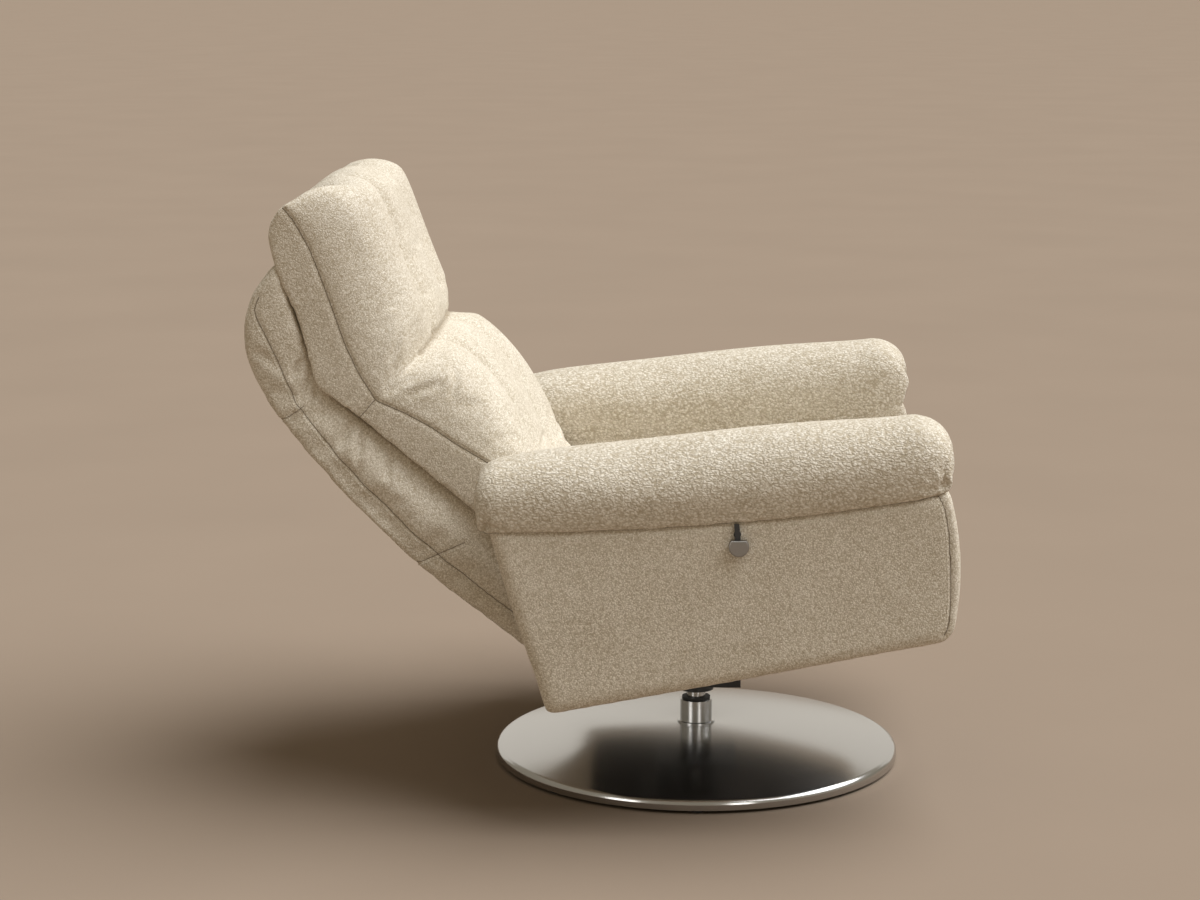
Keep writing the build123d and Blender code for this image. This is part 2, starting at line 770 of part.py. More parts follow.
keep("lever_bracket", lever_bracket)

with BuildPart() as release_cable:
    with BuildLine() as route:
        FilletPolyline(
            CABLE_TOP,
            seat(-CABLE_X).from_local_coords((LEVER_F + CRANK_REACH, CABLE_H, 0)),
            seat(-GAS_CHEEK_X - 10).from_local_coords((LEVER_F + CRANK_REACH, CABLE_H, 0)),
            radius=CABLE_BEND,
        )
    with BuildSketch(CABLE_PLANE):
        Circle(CABLE_R)
    sweep(path=route.line)
keep("release_cable", release_cable)

LEVER_OUT = ARM_OUT + 3
CRANK_DROP = radians(15)
CRANK_TIP = (CRANK_REACH * cos(CRANK_DROP), -CRANK_REACH * sin(CRANK_DROP))

with BuildPart() as lever_shaft:
    with BuildSketch(seat(-BRACKET_FACE - 1)):
        with Locations((LEVER_F, LEVER_H)):
            Circle(LEVER_SHAFT_R)
    extrude(amount=LEVER_OUT - BRACKET_FACE - 1)
    with BuildSketch(seat(-CRANK_X)):
        with Locations((LEVER_F, LEVER_H)):
            Circle(LEVER_SHAFT_R + 4)
            SlotCenterPoint((CRANK_TIP[0] / 2, CRANK_TIP[1] / 2), CRANK_TIP, 12)
    extrude(amount=5)
keep("lever_shaft", lever_shaft)

with BuildPart() as lever_bush:
    with BuildSketch(seat(-LEVER_ROOM_OUT)):
        with Locations((LEVER_F, LEVER_H)):
            Circle(LEVER_SHAFT_R + 4 - SEATED)
            Circle(LEVER_SHAFT_R + RUN, mode=Mode.SUBTRACT)
    extrude(amount=ARM_OUT - LEVER_ROOM_OUT - 1)
keep("lever_bush", lever_bush)

with BuildPart() as lever_stem:
    with BuildSketch(side(-LEVER_OUT)):
        with BuildLine():
            Polyline(
                (LEVER_AT - 2.5, ARM_TOP - 34.5),
                (LEVER_AT + 2, ARM_TOP - 36.5),
                (LEVER_AT + 5, ARM_TOP - 34.5),
                (LEVER_AT + 2.5, ARM_TOP - 4.5),
                (LEVER_AT - 4.5, ARM_TOP - 4.5),
                close=True,
            )
        make_face()
    extrude(amount=4)
    fillet(lever_stem.edges().filter_by(Axis.X), radius=1.5)
keep("lever_stem", lever_stem)

with BuildPart() as lever_knob:
    with BuildSketch(side(-LEVER_OUT - 4)):
        with Locations((LEVER_AT + 2, ARM_TOP - 34.5)):
            Circle(KNOB_R)
            with Locations((0, KNOB_R + 5)):
                Rectangle(2 * KNOB_R, 20, mode=Mode.SUBTRACT)
    extrude(amount=7)
    fillet(lever_knob.faces().sort_by(Axis.X)[0].edges(), radius=2)
keep("lever_knob", lever_knob)

# Gas spring

with BuildPart() as gas_cylinder:
    with BuildSketch(seat(GAS_CHEEK_X - 2)):
        with Locations((ANCHOR_F, GAS_H)):
            Circle(11)
    extrude(amount=2 * GAS_CHEEK_X - 4)
    with BuildSketch(GAS_PLANE):
        Circle(GAS_R)
    extrude(amount=-GAS_BODY)
    with BuildSketch(GAS_PLANE.offset(-GAS_BODY)):
        Circle(GAS_ROD_R + RUN)
    extrude(amount=GAS_BODY - 20, mode=Mode.SUBTRACT)
    with BuildSketch(seat(GAS_CHEEK_X)):
        with Locations((ANCHOR_F, GAS_H)):
            Circle(GAS_BOLT_R + RUN)
    extrude(amount=2 * GAS_CHEEK_X, mode=Mode.SUBTRACT)
keep("gas_cylinder", gas_cylinder)

with BuildPart() as gas_rod:
    with BuildSketch(GAS_PLANE.offset(-ROD_START)):
        Circle(GAS_ROD_R)
    extrude(amount=-(GAS_LENGTH - 8 - ROD_START - 10))
    with BuildSketch(seat(GAS_CHEEK_X - 7)):
        with Locations(GAS_END):
            Circle(12)
            Circle(GAS_BOLT_R + LOOSE, mode=Mode.SUBTRACT)
    extrude(amount=2 * GAS_CHEEK_X - 14)
keep("gas_rod", gas_rod)

# Reclining back

with BuildPart() as recline_shaft:
    with BuildSketch(seat(BRACKET_X + ARM_PLATE_T + 4)):
        with Locations(HINGE):
            Circle(SHAFT_R)
    extrude(amount=2 * (BRACKET_X + ARM_PLATE_T + 4))
    chamfer(recline_shaft.edges(), length=1)
keep("recline_shaft", recline_shaft)

with BuildPart() as hinge_arm_right:
    with BuildSketch(back(-HINGE_ARM_X - ARM_PLATE_T)):
        with BuildLine():
            Polyline(
                (22, -4),
                (38, -56),
                (66, -78),
                (175, UPRIGHT_FRONT),
                (175, UPRIGHT_REAR),
                (48, UPRIGHT_REAR),
                (-16, -68),
                (-22, -4),
            )
            ThreePointArc((-22, -4), (0, 22), (22, -4))
        make_face()
        Circle(SHAFT_R + SEATED, mode=Mode.SUBTRACT)
    extrude(amount=ARM_PLATE_T)
keep("hinge_arm_right", hinge_arm_right)
keep_mirrored("hinge_arm_left", hinge_arm_right)

with BuildPart() as gas_crank:
    with BuildSketch(seat(-GAS_CHEEK_X)):
        with BuildLine():
            Polyline((HINGE[0] - 18, HINGE[1]), (GAS_END[0] - 11, GAS_H))
            ThreePointArc((GAS_END[0] - 11, GAS_H), (GAS_END[0], GAS_H - 11), (GAS_END[0] + 11, GAS_H))
            Line((GAS_END[0] + 11, GAS_H), (HINGE[0] + 18, HINGE[1]))
            ThreePointArc(
                (HINGE[0] + 18, HINGE[1]),
                (HINGE[0], HINGE[1] + 18),
                (HINGE[0] - 18, HINGE[1]),
            )
        make_face()
        with Locations(HINGE):
            Circle(SHAFT_R + SEATED, mode=Mode.SUBTRACT)
        with Locations(GAS_END):
            Circle(GAS_BOLT_R + SEATED, mode=Mode.SUBTRACT)
    extrude(amount=GAS_CHEEK_T)
    mirror(about=Plane.YZ)
keep("gas_crank", gas_crank)

with BuildPart() as crank_bolt:
    gas_bolt(GAS_END, GAS_CHEEK_X + GAS_CHEEK_T)
keep("crank_bolt", crank_bolt)

UPRIGHT_LENGTH = CREASE_U - 30
UPRIGHT_MID = CREASE_U + 40 - UPRIGHT_LENGTH / 2
UPRIGHT_N = (UPRIGHT_REAR + UPRIGHT_FRONT) / 2

with BuildPart() as back_upright_right:
    with BuildSketch(back(-HINGE_ARM_X)):
        with Locations((UPRIGHT_MID, UPRIGHT_N)):
            Rectangle(UPRIGHT_LENGTH, UPRIGHT_FRONT - UPRIGHT_REAR)
    extrude(amount=UPRIGHT_W)
    with BuildSketch(back(-HINGE_ARM_X + TUBE_WALL)):
        with Locations((UPRIGHT_MID, UPRIGHT_N)):
            Rectangle(UPRIGHT_LENGTH + 10, UPRIGHT_FRONT - UPRIGHT_REAR - 2 * TUBE_WALL)
    extrude(amount=UPRIGHT_W - 2 * TUBE_WALL, mode=Mode.SUBTRACT)
keep("back_upright_right", back_upright_right)
keep_mirrored("back_upright_left", back_upright_right)

with BuildPart() as back_cross_tubes:
    for u, half in ((85, UPRIGHT_IN), (CREASE_U + 25, HEAD_PLATE_X)):
        with BuildSketch(back(-half)):
            with Locations((u, UPRIGHT_N)):
                Circle(11)
        extrude(amount=2 * half)
keep("back_cross_tubes", back_cross_tubes)

with BuildPart() as back_webbing:
    for u in (125, 195, 265, 335):
        with BuildSketch(back(-HINGE_ARM_X + 2)):
            with Locations((u, UPRIGHT_FRONT + 1)):
                Rectangle(46, 2)
        extrude(amount=2 * HINGE_ARM_X - 4)
keep("back_webbing", back_webbing)


SHELL_REAR_LOW = (9, -151)
SHELL_REAR_MID = (240, -171)
SHELL_REAR_TOP = (CREASE_U + 43, -157)
SHELL_FRONT_TOP = (CREASE_U - 2, -76)
SHELL_FRONT_LOW = (44, -50)

with BuildPart() as back_shell:
    with BuildSketch(back(-BACK_HALF_W)):
        with BuildLine():
            ThreePointArc(SHELL_REAR_LOW, SHELL_REAR_MID, SHELL_REAR_TOP)
            Polyline(SHELL_REAR_TOP, SHELL_FRONT_TOP, SHELL_FRONT_LOW, SHELL_REAR_LOW)
        make_face()
    extrude(amount=2 * BACK_HALF_W)
    fillet(back_shell.faces().filter_by(GeomType.CYLINDER).edges().filter_by(GeomType.CIRCLE), radius=14)
    with BuildSketch(back(-BACK_HALF_W + SHELL_WALL)):
        with BuildLine():
            ThreePointArc((-6, -135), (240, -171 + SHELL_WALL), (CREASE_U + 60, -141))
            Polyline((CREASE_U + 60, -141), (CREASE_U + 60, -20), (-6, -20), (-6, -135))
        make_face()
    extrude(amount=2 * BACK_HALF_W - 2 * SHELL_WALL, mode=Mode.SUBTRACT)
keep("back_shell", back_shell)

with BuildPart() as lumbar_cushion:
    for panel in BACK_PANELS:
        for t in panel:
            rise = 5 + BACK_CROWN * crown(t) - channel(t)
            with BuildSketch(back(t * BACK_HALF_W)):
                with BuildLine():
                    low = (62, 14 + 0.2 * rise)
                    high = (CREASE_U, -38 + 0.95 * rise)
                    Polyline((62, -51 + APART), (28, -14), (28, 16), low)
                    Spline(
                        low,
                        (CREASE_U - 260, 12 + 0.16 * rise),
                        (CREASE_U - 205, 11 + 0.32 * rise),
                        (CREASE_U - 155, 3 + 0.6 * rise),
                        (CREASE_U - 100, -9 + 0.83 * rise),
                        (CREASE_U - 45, -23 + 0.96 * rise),
                        high,
                    )
                    Polyline(high, (CREASE_U, -76 + APART), (62, -51 + APART))
                make_face()
        loft()
    with BuildSketch(back(-UPRIGHT_IN)):
        with Locations((235, -84)):
            Rectangle(310, 52)
    extrude(amount=2 * UPRIGHT_IN)
keep("lumbar_cushion", lumbar_cushion)

with BuildPart() as ratchet_plates:
    with BuildSketch(back(-UPRIGHT_IN)):
        with BuildLine():
            Polyline(
                (CREASE_U - 50, UPRIGHT_FRONT),
                (CREASE_U - 50, UPRIGHT_REAR),
                (CREASE_U + 44, UPRIGHT_REAR),
                (HEAD_AXIS[0], HEAD_AXIS[1] - 14),
            )
            ThreePointArc(
                (HEAD_AXIS[0], HEAD_AXIS[1] - 14),
                (HEAD_AXIS[0] + 14, HEAD_AXIS[1]),
                (HEAD_AXIS[0], HEAD_AXIS[1] + 14),
            )
            Line((HEAD_AXIS[0], HEAD_AXIS[1] + 14), (CREASE_U - 50, UPRIGHT_FRONT))
        make_face()
    extrude(amount=UPRIGHT_IN - HEAD_PLATE_X)
    with BuildSketch(back(-HEAD_PLATE_X)):
        with Locations(HEAD_AXIS):
            Circle(RATCHET_PIN_R)
    extrude(amount=HEAD_PLATE_X - HEAD_ARM_X + 4)
    mirror(about=Plane.YZ)
keep("ratchet_plates", ratchet_plates)

# Tilting headrest

HEAD_TUBES = ((CREASE_U + 105, -92), (CREASE_U + 190, -29))
HEAD_REAR_LOW = (CREASE_U + 74, -86)
HEAD_REAR_TOP = (CREASE_U + 268, 37)

with BuildPart() as head_arm_right:
    with BuildSketch(back(-HEAD_ARM_X - ARM_PLATE_T)):
        with BuildLine():
            Polyline(
                (CREASE_U + 50, -128),
                (CREASE_U + 78, -84.2),
                (CREASE_U + 200, -6.8),
                (CREASE_U + 208, -30),
                (CREASE_U + 100, -122),
                (CREASE_U + 66, -134),
                close=True,
            )
        make_face()
        with Locations(HEAD_AXIS):
            Circle(12)
            Circle(RATCHET_PIN_R + RUN, mode=Mode.SUBTRACT)
        with Locations(*HEAD_TUBES):
            Circle(HEAD_TUBE_R + SEATED, mode=Mode.SUBTRACT)
    extrude(amount=ARM_PLATE_T)
keep("head_arm_right", head_arm_right)
keep_mirrored("head_arm_left", head_arm_right)

with BuildPart() as head_cross_tubes:
    with BuildSketch(back(-BACK_HALF_W + SHELL_WALL)):
        with Locations(*HEAD_TUBES):
            Circle(HEAD_TUBE_R)
    extrude(amount=2 * BACK_HALF_W - 2 * SHELL_WALL)
keep("head_cross_tubes", head_cross_tubes)

with BuildPart() as head_shell:
    with BuildSketch(back(-BACK_HALF_W)):
        with BuildLine():
            low = (CREASE_U + 68, -153)
            bend = (CREASE_U + 185, -109)
            top = (CREASE_U + 234, -8)
            ThreePointArc(low, (CREASE_U + 130, -138), bend)
            ThreePointArc(bend, (CREASE_U + 222, -66), top)
            Polyline(top, (CREASE_U + 230, 12.2), (CREASE_U + 78, -84.2), low)
        make_face()
    extrude(amount=2 * BACK_HALF_W)
    with BuildSketch(back(-BACK_HALF_W + SHELL_WALL)):
        with BuildLine():
            low = (CREASE_U + 52, -141)
            bend = (CREASE_U + 174, -98)
            top = (CREASE_U + 219, -8)
            ThreePointArc(low, (CREASE_U + 124, -125), bend)
            ThreePointArc(bend, (CREASE_U + 208, -60), top)
            Polyline(top, (CREASE_U + 219, 40), (CREASE_U + 52, 40), low)
        make_face()
    extrude(amount=2 * BACK_HALF_W - 2 * SHELL_WALL, mode=Mode.SUBTRACT)
keep("head_shell", head_shell)

with BuildPart() as head_cushion:
    for panel in BACK_PANELS:
        for t in panel:
            rise = 5 + HEAD_CROWN * crown(t) - channel(t)
            with BuildSketch(back(t * BACK_HALF_W)):
                with BuildLine():
                    foot = CREASE_U + 2 * APART
                    low = (foot, -38 + 0.95 * rise)
                    high = (CREASE_U + 268 - 0.05 * rise, 66 + 0.5 * rise)
                    over = (CREASE_U + 276 - 0.05 * rise, 51 + 0.35 * rise)
                    Line((foot, -76 + APART), low)
                    Spline(
                        low,
                        (CREASE_U + 53, -24 + 1.02 * rise),
                        (CREASE_U + 116, 7 + rise),
                        (CREASE_U + 170, 35 + rise),
                        (CREASE_U + 212, 55 + 0.92 * rise),
                        (CREASE_U + 244 - 0.03 * rise, 63 + 0.74 * rise),
                        high,
                    )
                    ThreePointArc(high, over, HEAD_REAR_TOP)
                    Polyline(HEAD_REAR_TOP, HEAD_REAR_LOW, (foot, -76 + APART))
                make_face()
        loft()
keep("head_cushion", head_cushion)
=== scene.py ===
# %% [markdown]
# # A swivel recliner, dressed
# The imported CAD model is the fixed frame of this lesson: steel, wood and hinges are already true to size.
# Blender adds what a tape measure can't: padded cloth, seams, stitches and the way each surface takes
# light. Everything is in metres. The chair faces -Y, Z is up, and the origin is on the floor under the
# column.

# %% Load the frame
import json
import math

import bmesh
import bpy
import numpy as np
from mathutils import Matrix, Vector
from mathutils.bvhtree import BVHTree


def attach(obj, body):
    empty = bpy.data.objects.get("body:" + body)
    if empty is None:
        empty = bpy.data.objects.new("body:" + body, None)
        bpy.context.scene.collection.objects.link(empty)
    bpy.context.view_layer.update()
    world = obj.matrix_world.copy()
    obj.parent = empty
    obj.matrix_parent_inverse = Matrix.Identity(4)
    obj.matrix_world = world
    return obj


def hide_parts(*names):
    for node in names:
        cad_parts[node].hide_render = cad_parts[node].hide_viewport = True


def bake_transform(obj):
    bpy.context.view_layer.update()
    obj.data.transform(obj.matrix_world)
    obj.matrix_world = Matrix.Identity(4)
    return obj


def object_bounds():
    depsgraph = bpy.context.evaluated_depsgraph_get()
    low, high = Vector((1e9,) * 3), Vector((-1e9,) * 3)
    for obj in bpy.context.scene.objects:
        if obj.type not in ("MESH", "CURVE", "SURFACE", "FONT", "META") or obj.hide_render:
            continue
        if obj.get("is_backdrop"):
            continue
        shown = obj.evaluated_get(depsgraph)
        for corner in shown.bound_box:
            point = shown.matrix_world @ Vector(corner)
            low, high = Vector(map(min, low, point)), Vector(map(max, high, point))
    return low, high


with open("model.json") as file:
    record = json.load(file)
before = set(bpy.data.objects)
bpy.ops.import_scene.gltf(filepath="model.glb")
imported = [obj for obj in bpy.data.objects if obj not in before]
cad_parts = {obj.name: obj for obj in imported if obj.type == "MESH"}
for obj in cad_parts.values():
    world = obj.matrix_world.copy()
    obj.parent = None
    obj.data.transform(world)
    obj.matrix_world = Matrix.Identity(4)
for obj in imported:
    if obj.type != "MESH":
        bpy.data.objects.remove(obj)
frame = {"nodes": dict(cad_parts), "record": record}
cad_low, cad_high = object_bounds()
scene = bpy.context.scene
MM = 0.001
SIDES = (-1, 1)
print("nodes", len(frame["nodes"]), "box", [round(b - a, 3) for a, b in zip(cad_low, cad_high)])

# %% [markdown]
# ## The camera
# The photograph looks at the sitter's right side from about chest height, a little downwards, with a long
# lens. Placing the camera first means that every later look can be compared with the photograph at once. A
# long lens far away keeps the near and far arms close in size, which a short lens would not.

# %% Camera
CAMERA_PLACE = Vector((-3.909, 0.042, 1.18))
CAMERA_PITCH = math.radians(10.4)
CAMERA_YAW = math.radians(1.5)
CAMERA_LENS = 80.7

camera_data = bpy.data.cameras.new("camera")
camera_data.lens = CAMERA_LENS
camera_data.sensor_width = 36.0
camera = bpy.data.objects.new("camera", camera_data)
scene.collection.objects.link(camera)
looking = Vector((
    math.cos(CAMERA_YAW) * math.cos(CAMERA_PITCH),
    math.sin(CAMERA_YAW) * math.cos(CAMERA_PITCH),
    -math.sin(CAMERA_PITCH),
))
camera.location = CAMERA_PLACE
camera.rotation_euler = looking.to_track_quat("-Z", "Y").to_euler()
scene.camera = camera
print("camera", [round(c, 3) for c in camera.location], "lens", CAMERA_LENS)

# %% [markdown]
# ## Small tools for meshes
# Soft pieces are shaped by moving many points at once, so a few helpers read and write a mesh as arrays.
# `baked` turns an object with modifiers into a plain mesh, and `relax` rounds a form as stuffing rounds
# cloth.

# %% Mesh helpers
def linked(mesh, name):
    piece = bpy.data.objects.new(name, mesh)
    scene.collection.objects.link(piece)
    return piece


def baked(piece):
    graph = bpy.context.evaluated_depsgraph_get()
    return bpy.data.meshes.new_from_object(piece.evaluated_get(graph))


def array_of(items, field, width, kind):
    flat = np.empty(len(items) * width, kind)
    items.foreach_get(field, flat)
    return flat.reshape(-1, width)


def points_of(mesh):
    return array_of(mesh.vertices, "co", 3, np.float32).astype(float)


def normals_of(mesh):
    return array_of(mesh.vertices, "normal", 3, np.float32).astype(float)


def edges_of(mesh):
    return array_of(mesh.edges, "vertices", 2, np.int32)


def set_points(mesh, places):
    mesh.vertices.foreach_set("co", places.astype(np.float32).ravel())
    mesh.update()


def relax(places, edges, passes):
    """Each point moves halfway to the middle of its neighbours, as often as there are passes."""
    count = len(places)
    degree = np.maximum(np.bincount(edges.ravel(), minlength=count), 1)
    for _ in range(passes):
        middle = np.empty_like(places)
        for axis in range(3):
            ahead = np.bincount(edges[:, 0], places[edges[:, 1], axis], count)
            behind = np.bincount(edges[:, 1], places[edges[:, 0], axis], count)
            middle[:, axis] = (ahead + behind) / degree
        places = places + 0.5 * (middle - places)
    return places


print("mesh helpers ready")

# %% [markdown]
# ## Masks and lines
# A soft mask is a number between 0 and 1 for every point. `smooth_step` rises from 0 to 1 between two
# values, and `bell` is 1 at a middle and fades to both sides. Lines are lists of places: `dense` adds points
# to one, and `along_line` measures how far every point of a mesh is from it.

# %% Mask and line helpers
LINE_REACH = 0.06
POINTS_AT_ONCE = 4000


def smooth_step(value, low, high):
    share = np.clip((value - low) / (high - low), 0, 1)
    return share * share * (3 - 2 * share)


def bell(offset, width):
    return np.exp(-((offset / width) ** 2))


def dense(line, step=0.002):
    """The same open line with a point about every step."""
    line = [Vector(p) for p in line]
    out = []
    for a, b in zip(line, line[1:]):
        count = max(1, int((b - a).length / step))
        out += [a.lerp(b, i / count) for i in range(count)]
    return out + [line[-1]]


def along_line(places, line):
    """Distance of each place from a dense line, and how far along it that is, from 0 to 1."""
    line = np.array([tuple(p) for p in line])
    near = np.all((places > line.min(0) - LINE_REACH) & (places < line.max(0) + LINE_REACH), axis=1)
    distance = np.ones(len(places))
    share = np.zeros(len(places))
    chosen = np.flatnonzero(near)
    for part in np.array_split(chosen, max(1, len(chosen) // POINTS_AT_ONCE)):
        gap = ((places[part][:, None, :] - line[None, :, :]) ** 2).sum(2)
        distance[part] = np.sqrt(gap.min(1))
        share[part] = gap.argmin(1) / max(1, len(line) - 1)
    return distance, share


def profile(value, table):
    """A height read off a side-view table of (value, height) pairs."""
    return np.interp(value, [a for a, b in table], [b for a, b in table])


print("mask helpers ready")

# %% [markdown]
# ## Two slanted views
# The back leans at 44 degrees, and the seat is tilted by 10.6 degrees about the pin over the column. Seams
# and folds are easiest to place in those slanted side views, in millimetres, so two helpers turn such a
# place into the frame, and one turns points back into "up the back" and "out of its front".

# %% Slanted views
BACK_LEAN = math.radians(44.0)
HINGE_Y, HINGE_Z = 0.130, 0.330
SEAT_TILT = math.radians(10.6)
TILT_PIN_Z = 0.150
HALF_WIDTH = 0.283
CREASE_UP = 400.0
CHANNEL_X = 0.36 * HALF_WIDTH


def on_back(up, out, x=0.0):
    """Place from millimetres up the back and out of its front, x in metres."""
    y = HINGE_Y + (up * math.cos(BACK_LEAN) - out * math.sin(BACK_LEAN)) * MM
    z = HINGE_Z + (up * math.sin(BACK_LEAN) + out * math.cos(BACK_LEAN)) * MM
    return Vector((x, y, z))


def on_seat(ahead, high, x=0.0):
    """Place from millimetres ahead and above on the tilted seat, x in metres."""
    y = -(ahead * math.cos(SEAT_TILT) - high * math.sin(SEAT_TILT)) * MM
    z = TILT_PIN_Z + (high * math.cos(SEAT_TILT) + ahead * math.sin(SEAT_TILT)) * MM
    return Vector((x, y, z))


def at_side(ahead, high, x):
    """Place from millimetres ahead of the column and above the floor, x in metres."""
    return Vector((x, -ahead * MM, high * MM))


def up_and_out(places):
    """Millimetres up the back and out of its front for an array of places."""
    y = (places[:, 1] - HINGE_Y) / MM
    z = (places[:, 2] - HINGE_Z) / MM
    up = y * math.cos(BACK_LEAN) + z * math.sin(BACK_LEAN)
    out = -y * math.sin(BACK_LEAN) + z * math.cos(BACK_LEAN)
    return up, out


UP_THE_BACK = np.array(on_back(1, 0) - on_back(0, 0)) / MM
OUT_OF_BACK = np.array(on_back(0, 1) - on_back(0, 0)) / MM
print("crease at", [round(c, 3) for c in on_back(CREASE_UP, 0)])

# %% [markdown]
# ## Tools for node trees
# Shaders and Geometry Nodes are both trees of nodes. One helper makes a node, sets its switches, and then
# sets or links each of its inputs. The others are short words for the nodes that come up again and again.

# %% Node helpers
def socket(group, name, kind, value=None, output=False):
    way = "OUTPUT" if output else "INPUT"
    made = group.interface.new_socket(name=name, in_out=way, socket_type=kind)
    if value is not None:
        made.default_value = value


def feed(tree, made, inputs):
    """Sets or links a node's inputs, given by their names or numbers."""
    for key, value in inputs.items():
        if isinstance(value, bpy.types.NodeSocket):
            tree.links.new(value, made.inputs[key])
        else:
            made.inputs[key].default_value = value


def node(tree, kind, inputs=None, **settings):
    made = tree.nodes.new(kind)
    for name, value in settings.items():
        setattr(made, name, value)
    feed(tree, made, inputs or {})
    return made


def maths(tree, operation, *terms):
    return node(tree, "ShaderNodeMath", dict(enumerate(terms)), operation=operation).outputs[0]


def vector_maths(tree, operation, inputs):
    return node(tree, "ShaderNodeVectorMath", inputs, operation=operation).outputs[0]


def noise(tree, place, scale, detail=2.0):
    return node(tree, "ShaderNodeTexNoise", {"Vector": place, "Scale": scale, "Detail": detail}).outputs


def mixed(tree, factor, first, second, blend="MIX"):
    inputs = {"Factor": factor, "A": first, "B": second}
    return node(tree, "ShaderNodeMix", inputs, data_type="RGBA", blend_type=blend).outputs["Result"]


def material_with(name, **inputs):
    material = bpy.data.materials.new(name)
    material.use_nodes = True
    shader = material.node_tree.nodes["Principled BSDF"]
    feed(material.node_tree, shader, {key.replace("_", " "): value for key, value in inputs.items()})
    return material, material.node_tree, shader


def raise_relief(tree, shader, height, strength, depth):
    bump = node(tree, "ShaderNodeBump", {"Height": height, "Strength": strength, "Distance": depth})
    feed(tree, shader, {"Normal": bump.outputs["Normal"]})


print("node helpers ready")

# %% [markdown]
# ## Nubby cloth
# The cover is a boucle: looped yarn that stands up in small nubs of two to four millimetres. A shader group
# makes the nubs once, from cells for the loops and fine noise for the fibres, and every upholstery material
# places it with its own grain. The gaps between the loops take the darker colour as painted shade. Cloth
# bends at the joints, so the pattern reads a stored attribute with the cloth's own rest place, and not the
# place in space.

# %% Boucle group
boucle = bpy.data.node_groups.new("boucle nubs", "ShaderNodeTree")
socket(boucle, "Place", "NodeSocketVector")
socket(boucle, "Nubs per metre", "NodeSocketFloat", 330.0)
socket(boucle, "Light yarn", "NodeSocketColor", (0.8, 0.75, 0.64, 1))
socket(boucle, "Dark yarn and gap shade", "NodeSocketColor", (0.5, 0.45, 0.36, 1))
socket(boucle, "Colour", "NodeSocketColor", output=True)
socket(boucle, "Height", "NodeSocketFloat", output=True)
given = node(boucle, "NodeGroupInput").outputs
wander = noise(boucle, given["Place"], scale=160.0)
centred = vector_maths(boucle, "SUBTRACT", {0: wander["Color"], 1: (0.5, 0.5, 0.5)})
small = vector_maths(boucle, "SCALE", {0: centred, "Scale": 0.006})
warped = vector_maths(boucle, "ADD", {0: given["Place"], 1: small})
cell_inputs = {"Vector": warped, "Scale": given["Nubs per metre"], "Smoothness": 0.35}
cells = node(boucle, "ShaderNodeTexVoronoi", cell_inputs, feature="SMOOTH_F1").outputs
loop_inputs = {"Value": cells["Distance"], "From Min": 0.7, "From Max": 0.2}
loops = node(boucle, "ShaderNodeMapRange", loop_inputs, interpolation_type="SMOOTHSTEP").outputs[0]
fibre = noise(boucle, warped, maths(boucle, "MULTIPLY", given["Nubs per metre"], 3.1), detail=3.0)["Fac"]
tone = noise(boucle, given["Place"], scale=16.0, detail=3.0)["Fac"]
each_nub = node(boucle, "ShaderNodeSeparateColor", {0: cells["Color"]}).outputs["Red"]


def share_of(value, share):
    return maths(boucle, "MULTIPLY", value, share)


def swing_of(value, share):
    return share_of(maths(boucle, "SUBTRACT", value, 0.5), share)


height = maths(boucle, "ADD", share_of(loops, 0.7), share_of(fibre, 0.45))
by_nub = maths(boucle, "ADD", share_of(each_nub, 0.55), swing_of(fibre, 0.7))
# Lighter on the loops and darker in the gaps between them is painted shade; the tone by nub and fibre is
# random.
nub_tone_and_gap_shade = maths(boucle, "ADD", share_of(loops, 0.5), by_nub)
patchy_tone_and_gap_shade = maths(boucle, "ADD", nub_tone_and_gap_shade, swing_of(tone, 0.3))
yarn = mixed(boucle, patchy_tone_and_gap_shade, given["Dark yarn and gap shade"], given["Light yarn"])
node(boucle, "NodeGroupOutput", {"Colour": yarn, "Height": height})
print("group", boucle.name, "with", len(boucle.nodes), "nodes")

# %% [markdown]
# ## Upholstery finishes
# The body cloth and the arm pads are the same cloth, but on the pads the nubs are stretched larger. A
# darkened mask, stored on the mesh where a seam pulls the cloth in, paints shade into the groove.

# %% Upholstery materials
LIGHT_YARN = (0.90, 0.85, 0.755, 1)
# The dark colour is the darker yarn and also the painted shade in the gaps between nubs.
DARK_YARN_AND_GAP_SHADE = (0.48, 0.41, 0.30, 1)
# Painted shade: the colour that darkens the cloth along grooves.
GROOVE_SHADE = (0.42, 0.36, 0.28, 1)
NUB_DEPTH = 0.002


def cloth_material(name, nubs, stretch, bump):
    material, tree, shader = material_with(
        name, Roughness=0.95, Specular_IOR_Level=0.2, Sheen_Weight=0.04, Sheen_Roughness=0.5,
    )
    rest = node(tree, "ShaderNodeAttribute", attribute_name="rest_place")
    place = node(tree, "ShaderNodeMapping", {"Vector": rest.outputs["Vector"], "Scale": stretch})
    nubby = node(tree, "ShaderNodeGroup", {
        "Place": place.outputs["Vector"],
        "Nubs per metre": nubs,
        "Light yarn": LIGHT_YARN,
        "Dark yarn and gap shade": DARK_YARN_AND_GAP_SHADE,
    }, node_tree=boucle).outputs
    # The seam mask multiplies painted shade into the cloth's colour.
    seam = node(tree, "ShaderNodeAttribute", attribute_name="painted_seam_shade")
    shaded = mixed(tree, seam.outputs["Fac"], nubby["Colour"], GROOVE_SHADE, blend="MULTIPLY")
    feed(tree, shader, {"Base Color": shaded})
    raise_relief(tree, shader, nubby["Height"], bump, NUB_DEPTH)
    return material


body_cloth = cloth_material("boucle_body", nubs=480.0, stretch=(1, 1, 1), bump=0.36)
pad_cloth = cloth_material("boucle_arm_pad", nubs=330.0, stretch=(1, 0.75, 1), bump=0.6)
print("materials", body_cloth.name, pad_cloth.name)

